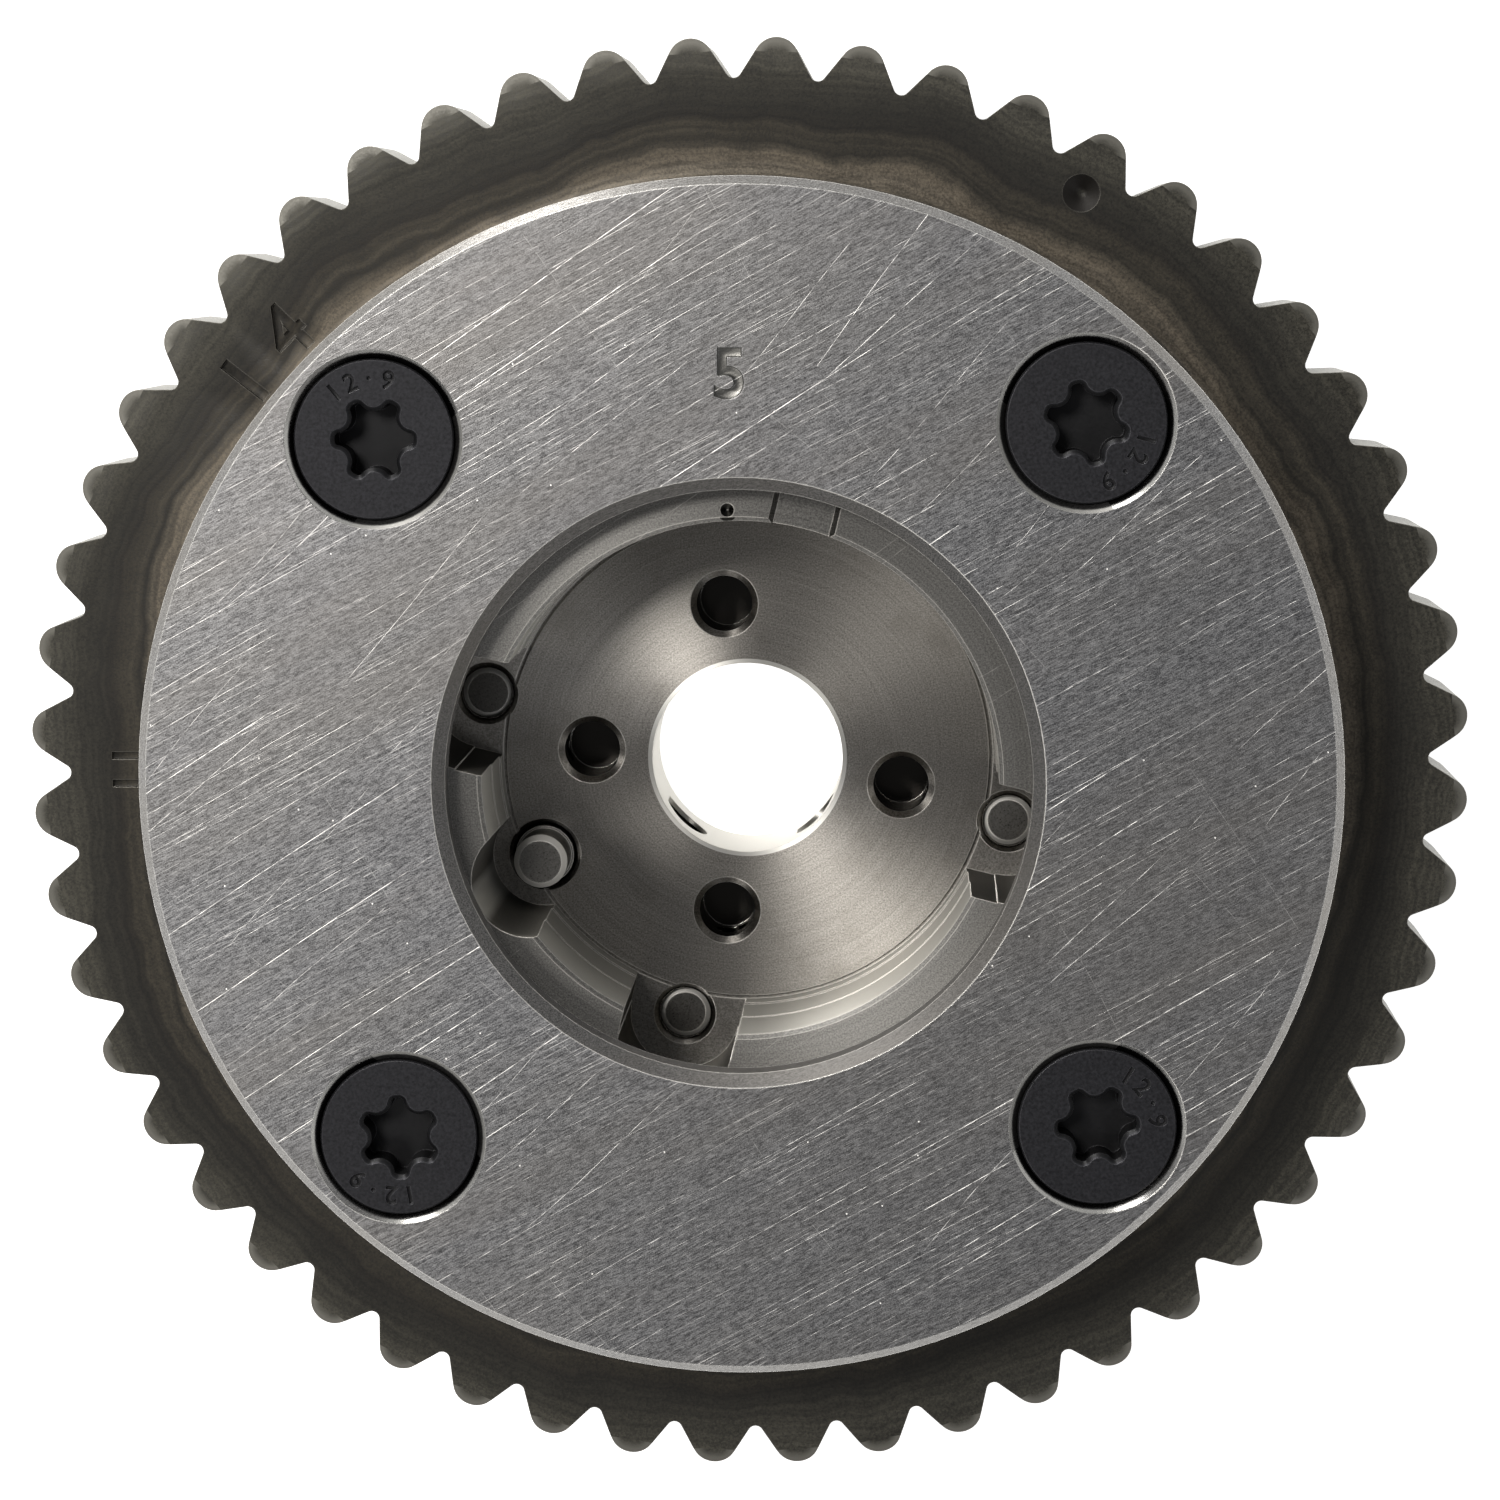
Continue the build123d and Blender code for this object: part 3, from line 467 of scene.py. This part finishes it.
# Sintered steel, steam treated and induction hardened at the teeth: dark oxide with wandering tint rings
def sinteredSteel():
    material, tree, shader = startMaterial("sinteredSteel", sinteredLook["roughness"],
                                           sinteredLook["metallic"])
    place, radius = coordinates(tree)[::2]
    sway = addNode(tree, "ShaderNodeTexNoise", None,
                   {"Vector": place, "Scale": 0.06, "Detail": 4.0, "Roughness": 0.55}).outputs[0]
    swayed = addNode(tree, "ShaderNodeMapRange", None,
                     {0: sway, 1: 0.3, 2: 0.7, 3: -sinteredLook["wobble"] / 2,
                      4: sinteredLook["wobble"] / 2}).outputs[0]
    ring = addNode(tree, "ShaderNodeMath", {"operation": "ADD"}, {0: radius, 1: swayed}).outputs[0]
    first, last = sinteredLook["bands"][0][0], sinteredLook["bands"][-1][0]
    share = addNode(tree, "ShaderNodeMapRange", None, {0: ring, 1: first, 2: last}).outputs[0]
    tint = addNode(tree, "ShaderNodeValToRGB", None, {0: share},
                   [((r - first) / (last - first), linear(c)) for r, c in sinteredLook["bands"]]).outputs[0]
    pores = addNode(tree, "ShaderNodeTexNoise", None,
                    {"Vector": place, "Scale": 1 / sinteredLook["pore"], "Detail": 2.0,
                     "Roughness": 0.7}).outputs[0]
    blotch = addNode(tree, "ShaderNodeTexNoise", None,
                     {"Vector": place, "Scale": 0.35, "Detail": 3.0, "Roughness": 0.6}).outputs[0]
    both = addNode(tree, "ShaderNodeMath", {"operation": "MULTIPLY_ADD"},
                   {0: blotch, 1: 0.3, 2: pores}).outputs[0]
    mottled = addNode(tree, "ShaderNodeMapRange", None,
                      {0: both, 1: 0.51, 2: 0.79, 3: 0.6, 4: 1.4}).outputs[0]
    faceTone = addNode(tree, "ShaderNodeMix", {"data_type": "RGBA", "blend_type": "MULTIPLY"},
                       {0: 1.0, 6: tint, 7: mottled}).outputs[2]
    heading = addNode(tree, "ShaderNodeVectorMath", {"operation": "NORMALIZE"}, {0: place}).outputs[0]
    heading = addNode(tree, "ShaderNodeSeparateXYZ", None, {0: heading})
    lines = addNode(tree, "ShaderNodeMath", {"operation": "DIVIDE"},
                    {0: ring, 1: sinteredLook["streak"]}).outputs[0]
    streakPlace = addNode(tree, "ShaderNodeCombineXYZ", None,
                          {0: lines, 1: heading.outputs[0], 2: heading.outputs[1]}).outputs[0]
    streaks = addNode(tree, "ShaderNodeTexNoise", None,
                      {"Vector": streakPlace, "Scale": 1.0, "Detail": 2.0, "Roughness": 0.6}).outputs[0]
    streaked = addNode(tree, "ShaderNodeMapRange", None,
                       {0: streaks, 1: 0.35, 2: 0.65, 3: 0.72, 4: 1.28}).outputs[0]
    faceTone = addNode(tree, "ShaderNodeMix", {"data_type": "RGBA", "blend_type": "MULTIPLY"},
                       {0: 1.0, 6: faceTone, 7: streaked}).outputs[2]
    level = facings(tree)[0]
    side = addNode(tree, "ShaderNodeMapRange", None, {0: level, 1: 0.6, 2: 0.3, 3: 0.0, 4: 1.0}).outputs[0]
    outside = addNode(tree, "ShaderNodeMath", {"operation": "GREATER_THAN"},
                      {0: radius, 1: sinteredLook["teethFrom"]}).outputs[0]
    sloped = addNode(tree, "ShaderNodeMapRange", None,
                     {0: level, 1: 0.985, 2: 0.965, 3: 0.0, 4: 1.0}).outputs[0]
    bevel = addNode(tree, "ShaderNodeMath", {"operation": "MULTIPLY"}, {0: sloped, 1: outside}).outputs[0]
    faceTone = addNode(tree, "ShaderNodeMix", {"data_type": "RGBA"},
                       {0: bevel, 6: faceTone, 7: linear(sinteredLook["bevel"])}).outputs[2]
    # Steep sides of the stamped marks and the drilled dot are painted dark as shade
    steep = addNode(tree, "ShaderNodeMapRange", None, {0: level, 1: 0.985, 2: 0.9, 3: 0.0, 4: 1.0}).outputs[0]
    fromDents = addNode(tree, "ShaderNodeMath", {"operation": "SUBTRACT"},
                        {0: radius, 1: sinteredLook["dents"]}).outputs[0]
    fromDents = addNode(tree, "ShaderNodeMath", {"operation": "ABSOLUTE"}, {0: fromDents}).outputs[0]
    near = addNode(tree, "ShaderNodeMath", {"operation": "LESS_THAN"},
                   {0: fromDents, 1: sinteredLook["dentReach"]}).outputs[0]
    dent = addNode(tree, "ShaderNodeMath", {"operation": "MULTIPLY"}, {0: steep, 1: near}).outputs[0]
    faceTone = addNode(tree, "ShaderNodeMix", {"data_type": "RGBA"},
                       {0: dent, 6: faceTone, 7: linear(sinteredLook["dent"])}).outputs[2]
    flank = addNode(tree, "ShaderNodeMath", {"operation": "MULTIPLY"}, {0: side, 1: outside}).outputs[0]
    tone = addNode(tree, "ShaderNodeMix", {"data_type": "RGBA"},
                   {0: flank, 6: faceTone, 7: linear(sinteredLook["flank"])}).outputs[2]
    within = addNode(tree, "ShaderNodeMath", {"operation": "LESS_THAN"},
                     {0: radius, 1: sinteredLook["drumTo"]}).outputs[0]
    wall = addNode(tree, "ShaderNodeMath", {"operation": "MULTIPLY"}, {0: side, 1: within}).outputs[0]
    wallTone = addNode(tree, "ShaderNodeMix", {"data_type": "RGBA", "blend_type": "MULTIPLY"},
                       {0: 1.0, 6: linear(sinteredLook["drum"]), 7: mottled}).outputs[2]
    tone = addNode(tree, "ShaderNodeMix", {"data_type": "RGBA"}, {0: wall, 6: tone, 7: wallTone}).outputs[2]
    metal = addNode(tree, "ShaderNodeMapRange", None,
                    {0: flank, 3: sinteredLook["metallic"], 4: 0.85}).outputs[0]
    worn, rounded = wornEdge(tree, sinteredLook["worn"], 0.90, 0.99)
    wear = addNode(tree, "ShaderNodeMath", {"operation": "MULTIPLY"}, {0: worn, 1: 0.5}).outputs[0]
    colour = addNode(tree, "ShaderNodeMix", {"data_type": "RGBA"},
                     {0: wear, 6: tone, 7: linear(sinteredLook["wear"])}).outputs[2]
    rough = addNode(tree, "ShaderNodeMapRange", None, {0: pores, 1: 0.3, 2: 0.7, 3: 0.42, 4: 0.6}).outputs[0]
    bump = addNode(tree, "ShaderNodeBump", None,
                   {"Strength": 0.5, "Distance": 0.02 * mm, "Height": pores, "Normal": rounded}).outputs[0]
    tree.links.new(colour, shader.inputs["Base Color"])
    tree.links.new(rough, shader.inputs["Roughness"])
    tree.links.new(metal, shader.inputs["Metallic"])
    tree.links.new(bump, shader.inputs["Normal"])
    return material


blackLook = {"dark": "#1b1b1e", "light": "#2b2b2f", "roughness": 0.42, "worn": "#86868a", "recess": "#131315",
             "recessFrom": 15.56}  # mm, a little under the heads' tops; the sockets and stamped digits below are painted dark as shade


# Black oxide on forged steel: thin, nearly neutral and slightly oily, worn light at the edges
def blackOxide():
    material, tree, shader = startMaterial("blackOxideSteel", blackLook["roughness"], 0.6)
    place, split = coordinates(tree)[:2]
    speckle = addNode(tree, "ShaderNodeTexNoise", None,
                      {"Vector": place, "Scale": 4.5, "Detail": 4.0, "Roughness": 0.75}).outputs[0]
    level = addNode(tree, "ShaderNodeMapRange", None, {0: speckle, 1: 0.35, 2: 0.65}).outputs[0]
    tone = addNode(tree, "ShaderNodeMix", {"data_type": "RGBA"},
                   {0: level, 6: linear(blackLook["dark"]), 7: linear(blackLook["light"])}).outputs[2]
    # The sockets and the stamped digits on the heads are painted dark as shade
    sunk = addNode(tree, "ShaderNodeMapRange", None,
                   {0: split.outputs[2], 1: blackLook["recessFrom"],
                    2: blackLook["recessFrom"] - 0.1}).outputs[0]
    tone = addNode(tree, "ShaderNodeMix", {"data_type": "RGBA"},
                   {0: sunk, 6: tone, 7: linear(blackLook["recess"])}).outputs[2]
    worn, rounded = wornEdge(tree, 0.10, 0.90, 0.99)
    wear = addNode(tree, "ShaderNodeMath", {"operation": "MULTIPLY"}, {0: worn, 1: 0.25}).outputs[0]
    colour = addNode(tree, "ShaderNodeMix", {"data_type": "RGBA"},
                     {0: wear, 6: tone, 7: linear(blackLook["worn"])}).outputs[2]
    rough = addNode(tree, "ShaderNodeMapRange", None, {0: level, 3: 0.36, 4: 0.5}).outputs[0]
    bump = addNode(tree, "ShaderNodeBump", None,
                   {"Strength": 0.2, "Distance": 0.01 * mm, "Height": speckle, "Normal": rounded}).outputs[0]
    tree.links.new(colour, shader.inputs["Base Color"])
    tree.links.new(rough, shader.inputs["Roughness"])
    tree.links.new(bump, shader.inputs["Normal"])
    return material


hardenedLook = {"dark": "#605e5a", "light": "#82807c", "roughness": 0.3, "worn": 0.14,  # mm
                "bevel": 0.8, "bare": "#fffdf8"}  # how clean the tumbled bevels are, and their steel, painted near white partly as a glint


# Hardened and centreless-ground steel: smoother and darker than the turned rotor, with tumbled bevels painted
# bright, partly as a glint
def hardenedSteel():
    material, tree, shader = startMaterial("hardenedSteel", hardenedLook["roughness"])
    place = coordinates(tree)[0]
    level = facings(tree)[0]
    speckle = addNode(tree, "ShaderNodeTexNoise", None,
                      {"Vector": place, "Scale": 8.0, "Detail": 3.0, "Roughness": 0.8}).outputs[0]
    fine = addNode(tree, "ShaderNodeMapRange", None, {0: speckle, 1: 0.3, 2: 0.7}).outputs[0]
    tone = addNode(tree, "ShaderNodeMix", {"data_type": "RGBA"},
                   {0: fine, 6: linear(hardenedLook["dark"]), 7: linear(hardenedLook["light"])})
    sloping = addNode(tree, "ShaderNodeMapRange", None,
                      {0: level, 1: 0.97, 2: 0.9, 3: 0.0, 4: 1.0}).outputs[0]
    bevelled = addNode(tree, "ShaderNodeMapRange", None,
                       {0: level, 1: 0.2, 2: 0.4, 3: 0.0, 4: 1.0}).outputs[0]
    bevel = addNode(tree, "ShaderNodeMath", {"operation": "MULTIPLY"}, {0: sloping, 1: bevelled}).outputs[0]
    worn, rounded = wornEdge(tree, hardenedLook["worn"], 0.90, 0.995)
    bevel = addNode(tree, "ShaderNodeMath", {"operation": "MULTIPLY"},
                    {0: bevel, 1: hardenedLook["bevel"]}).outputs[0]
    bright = addNode(tree, "ShaderNodeMath", {"operation": "MAXIMUM"}, {0: bevel, 1: worn}).outputs[0]
    # Bevels and worn edges are painted near white, partly as their glints
    colour = addNode(tree, "ShaderNodeMix", {"data_type": "RGBA"},
                     {0: bright, 6: tone.outputs[2], 7: linear(hardenedLook["bare"])}).outputs[2]
    rough = addNode(tree, "ShaderNodeMapRange", None, {0: fine, 3: 0.26, 4: 0.36}).outputs[0]
    rough = addNode(tree, "ShaderNodeMath", {"operation": "MULTIPLY_ADD"},
                    {0: bright, 1: 0.5, 2: rough}).outputs[0]
    bump = addNode(tree, "ShaderNodeBump", None,
                   {"Strength": 0.15, "Distance": 0.01 * mm, "Height": speckle, "Normal": rounded}).outputs[0]
    tree.links.new(colour, shader.inputs["Base Color"])
    tree.links.new(rough, shader.inputs["Roughness"])
    tree.links.new(bump, shader.inputs["Normal"])
    return material


# Drawn spring steel, oil tempered: smooth grey-brown wire with faint draw lines
def springSteel():
    material, tree, shader = startMaterial("springSteel", 0.32)
    place = coordinates(tree)[0]
    drawn = addNode(tree, "ShaderNodeTexNoise", None,
                    {"Vector": place, "Scale": 2.5, "Detail": 3.0, "Roughness": 0.7}).outputs[0]
    tone = addNode(tree, "ShaderNodeValToRGB", None, {0: drawn},
                   [(0.3, linear("#6b655c")), (0.7, linear("#8f897f"))]).outputs[0]
    rough = addNode(tree, "ShaderNodeMapRange", None, {0: drawn, 3: 0.25, 4: 0.42}).outputs[0]
    tree.links.new(tone, shader.inputs["Base Color"])
    tree.links.new(rough, shader.inputs["Roughness"])
    return material


# Moulded PEEK seal bars: dark brown, matt, with faint flow marks
def mouldedPeek():
    material, tree, shader = startMaterial("mouldedPeek", 0.55, 0.0)
    place = coordinates(tree)[0]
    flow = addNode(tree, "ShaderNodeTexNoise", None,
                   {"Vector": place, "Scale": 0.8, "Detail": 5.0, "Roughness": 0.7}).outputs[0]
    tone = addNode(tree, "ShaderNodeValToRGB", None, {0: flow},
                   [(0.3, linear("#2b231b")), (0.7, linear("#3b3127"))]).outputs[0]
    rough = addNode(tree, "ShaderNodeMapRange", None, {0: flow, 3: 0.45, 4: 0.65}).outputs[0]
    tree.links.new(tone, shader.inputs["Base Color"])
    tree.links.new(rough, shader.inputs["Roughness"])
    return material


finishes = {
    "sintered_steel": sinteredSteel(), "ground_steel": groundSteel(), "turned_steel": turnedSteel(),
    "hardened_steel": hardenedSteel(), "spring_steel": springSteel(), "black_screw": blackOxide(),
    "seal_plastic": mouldedPeek(),
}
slotOf = {piece["node"]: piece["material_slot"] for piece in frame["record"]["subparts"]}
for name, node in frame["nodes"].items():
    node.data.materials.clear()
    node.data.materials.append(finishes[slotOf[name]])
print("finishes laid on", len(slotOf), "nodes")

# Stamped marks: character, place from the axis in mm and degrees, height in mm, turn in degrees
coverMarks = {"depth": 0.16, "marks": [("5", 29.0, 91.2, 3.5, 0)]}
rimMarks = {"depth": 0.18, "marks": [("1", 46.0, 142.4, 3.9, 52), ("4", 46.0, 136.6, 3.9, 46),
                                     ("I", 45.4, 182.0, 2.6, 90), ("I", 45.4, 179.4, 2.6, 90)]}
headMarks = {"depth": 0.16, "ring": 4.3, "height": 1.3, "step": 18.0, "text": "12.9",
             "starts": (-15, 130, 280, 60)}  # where each head's mark begins


# One cutter for a set of marks, its slanted walls made by the letters' bevel
def markCutter(name, marks, top, depth):
    joined = bmesh.new()
    for character, circle, angle, height, turn in marks:
        curve = bpy.data.curves.new(name, "FONT")
        curve.body = character
        curve.align_x = "CENTER"
        curve.align_y = "CENTER"
        curve.size = height / 0.72 * mm  # a digit is 0.72 of the size that its font is set to
        curve.extrude = depth * mm
        curve.bevel_depth = 0.035 * height * mm
        curve.bevel_resolution = 1
        curve.resolution_u = 5
        text = bpy.data.objects.new(name, curve)
        bpy.context.scene.collection.objects.link(text)
        bpy.context.view_layer.update()
        mesh = bpy.data.meshes.new_from_object(text.evaluated_get(bpy.context.evaluated_depsgraph_get()))
        middle = sum((Vector(corner) for corner in text.bound_box), Vector()) / 8
        mesh.transform(Matrix.Translation(-middle))
        at = Vector((circle * cos(radians(angle)), circle * sin(radians(angle)), top)) * mm
        mesh.transform(Matrix.Translation(at) @ Matrix.Rotation(radians(turn), 4, "Z"))
        joined.from_mesh(mesh)
        bpy.data.objects.remove(text)
        bpy.data.meshes.remove(mesh)
    bmesh.ops.remove_doubles(joined, verts=joined.verts, dist=0.0005 * mm)
    bmesh.ops.recalc_face_normals(joined, faces=joined.faces)
    cutterMesh = bpy.data.meshes.new(name)
    joined.to_mesh(cutterMesh)
    joined.free()
    cutter = bpy.data.objects.new(name, cutterMesh)
    bpy.context.scene.collection.objects.link(cutter)
    return cutter


# A piece that stands for a node, with a copy of its mesh whose doubled corners are merged
def mergedCopy(nodeName, name):
    merged = bmesh.new()
    merged.from_mesh(frame["nodes"][nodeName].data)
    bmesh.ops.remove_doubles(merged, verts=merged.verts, dist=0.0002 * mm)
    mesh = bpy.data.meshes.new(name)
    merged.to_mesh(mesh)
    merged.free()
    mesh.attributes.remove(mesh.attributes["custom_normal"])  # the merged corners need new ones
    piece = bpy.data.objects.new(name, mesh)
    bpy.context.scene.collection.objects.link(piece)
    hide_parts(nodeName)
    return piece


def finishCopy(piece, nodeName):
    piece.data.materials.clear()
    piece.data.materials.append(finishes[slotOf[nodeName]])
    piece.data.shade_smooth()
    piece.data.set_sharp_from_angle(angle=radians(24))


def stampedCopy(nodeName, name, body, cutter):
    piece = mergedCopy(nodeName, name)
    cut = piece.modifiers.new("marks", "BOOLEAN")
    cut.operation = "DIFFERENCE"
    cut.solver = "EXACT"
    cut.use_self = True
    cut.object = cutter
    bpy.context.view_layer.update()
    cutMesh = bpy.data.meshes.new_from_object(piece.evaluated_get(bpy.context.evaluated_depsgraph_get()))
    piece.modifiers.clear()
    piece.data = cutMesh
    cutMesh.name = name
    bpy.data.objects.remove(cutter)
    finishCopy(piece, nodeName)
    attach(piece, body)


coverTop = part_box("cover_plate")[1].z / mm
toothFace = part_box("end_plate")[1].z / mm + 10.7
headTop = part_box("cover_screw_1")[1].z / mm
cutter = markCutter("coverCutter", coverMarks["marks"], coverTop, coverMarks["depth"])
stampedCopy("cover_plate", "stampedCover", "housing", cutter)
cutter = markCutter("rimCutter", rimMarks["marks"], toothFace, rimMarks["depth"])
stampedCopy("sprocket_housing", "stampedHousing", "housing", cutter)
for k in range(4):
    low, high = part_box(f"cover_screw_{k + 1}")
    middle = (low + high) / 2
    marks = []
    for n, character in enumerate(headMarks["text"]):
        angle = headMarks["starts"][k] - n * headMarks["step"]
        x = middle.x / mm + headMarks["ring"] * cos(radians(angle))
        y = middle.y / mm + headMarks["ring"] * sin(radians(angle))
        spot = Vector((x, y))
        marks.append((character, spot.length, degrees(spot.angle_signed(Vector((1, 0)))), headMarks["height"],
                      angle - 90))
    cutter = markCutter(f"headCutter{k + 1}", marks, headTop, headMarks["depth"])
    stampedCopy(f"cover_screw_{k + 1}", f"stampedScrew{k + 1}", "housing", cutter)
print("marks stamped")

# The lock pin's spring, which stands on the pin: a merged copy with its finish, its place applied to its mesh
spring = mergedCopy("lock_pin_spring", "squeezedSpring")
finishCopy(spring, "lock_pin_spring")
low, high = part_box("lock_pin_spring")
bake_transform(spring)
print("spring blended over", round((high.z - low.z) / mm, 2), "mm")

studio = {
    "board": "#f2f1ee", "boardGlow": 0.93,
    "world": "#cecfd1", "worldStrength": 0.27,
    "lamps": [  # name, place in metres, side in metres, watts, colour
        ("keySoftbox", (-0.38, 0.37, 0.96), 0.34, 7.0, "#fffcf8"),
        ("lowerLeftSoftbox", (-0.45, -0.49, 0.88), 0.34, 1.9, "#fffcf8"),
        ("lowerRightFill", (0.50, -0.45, 0.86), 0.40, 1.1, "#f8f9fc"),
        ("lowTopPanel", (-0.60, 1.25, 0.32), 0.50, 11.0, "#fffdfa"),
    ],
}


def paintedBoard():
    material, tree, shader = startMaterial("paintedBoard", 0.9, 0.0)
    shader.inputs["Base Color"].default_value = linear(studio["board"])
    shader.inputs["Specular IOR Level"].default_value = 0.0
    path = addNode(tree, "ShaderNodeLightPath")
    seen = addNode(tree, "ShaderNodeMath", {"operation": "MAXIMUM"},
                   {0: path.outputs["Is Camera Ray"], 1: path.outputs["Is Glossy Ray"]}).outputs[0]
    seen = addNode(tree, "ShaderNodeMath", {"operation": "MAXIMUM"},
                   {0: seen, 1: path.outputs["Is Transmission Ray"]}).outputs[0]
    glow = addNode(tree, "ShaderNodeMath", {"operation": "MULTIPLY"},
                   {0: seen, 1: studio["boardGlow"]}).outputs[0]
    shader.inputs["Emission Color"].default_value = shade(1.0)
    tree.links.new(glow, shader.inputs["Emission Strength"])
    # Clear from below, so that the object's underside can be looked at too
    clear = addNode(tree, "ShaderNodeBsdfTransparent").outputs[0]
    underneath = addNode(tree, "ShaderNodeNewGeometry").outputs["Backfacing"]
    surface = addNode(tree, "ShaderNodeMixShader", None,
                      {0: underneath, 1: shader.outputs[0], 2: clear}).outputs[0]
    tree.links.new(surface, tree.nodes["Material Output"].inputs["Surface"])
    return material


# A round floor whose edge sweeps up, open at the top
sweep = bmesh.new()
profile = [(0.0, 0.0), (2.2, 0.0), (2.8, 0.15), (3.2, 0.55), (3.35, 1.1)]
points = [sweep.verts.new((x, 0, z + cadLow.z - 0.05 * mm)) for x, z in profile]
for a, b in zip(points, points[1:]):
    sweep.edges.new((a, b))
bmesh.ops.spin(sweep, geom=sweep.verts[:] + sweep.edges[:], cent=(0, 0, 0), axis=(0, 0, 1),
               angle=radians(360), steps=96, use_merge=True)
bmesh.ops.remove_doubles(sweep, verts=sweep.verts, dist=0.0001)
bmesh.ops.recalc_face_normals(sweep, faces=sweep.faces)
if sum(face.normal.z for face in sweep.faces) < 0:
    bmesh.ops.reverse_faces(sweep, faces=sweep.faces)
sweepMesh = bpy.data.meshes.new("studioSweep")
sweep.to_mesh(sweepMesh)
sweep.free()
sweepMesh.shade_smooth()
sweepMesh.materials.append(paintedBoard())
floor = bpy.data.objects.new("studioSweep", sweepMesh)
bpy.context.scene.collection.objects.link(floor)
floor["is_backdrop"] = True

for name, place, side, watts, colour in studio["lamps"]:
    light = bpy.data.lights.new(name, "AREA")
    light.shape = "DISK"
    light.size = side
    light.energy = watts
    light.color = linear(colour)[:3]
    lamp = bpy.data.objects.new(name, light)
    lamp.location = place
    lamp.rotation_euler = Vector(place).to_track_quat("Z", "Y").to_euler()
    bpy.context.scene.collection.objects.link(lamp)

world = bpy.data.worlds.new("studioWorld")
world.use_nodes = True
sky = world.node_tree.nodes["Background"]
sky.inputs["Color"].default_value = linear(studio["world"])
sky.inputs["Strength"].default_value = studio["worldStrength"]
bpy.context.scene.world = world
bpy.context.scene.view_settings.view_transform = "Standard"

camera = {
    "place": (0.01325, 0.03836, 0.3034), "lens": 98.75,
    "right": (0.99908, 0.0, -0.04299), "up": (-0.00531, 0.99235, -0.12337),
    "back": (0.04266, 0.12348, 0.99144),
}
cameraData = bpy.data.cameras.new("camera")
cameraData.lens = camera["lens"]
cameraData.sensor_width = 36
cameraData.clip_start = 0.01
cameraObject = bpy.data.objects.new("camera", cameraData)
turn = Matrix((camera["right"], camera["up"], camera["back"])).transposed().to_4x4()
cameraObject.matrix_world = Matrix.Translation(camera["place"]) @ turn
bpy.context.scene.collection.objects.link(cameraObject)
bpy.context.scene.camera = cameraObject
print("studio and camera set")

low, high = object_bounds()
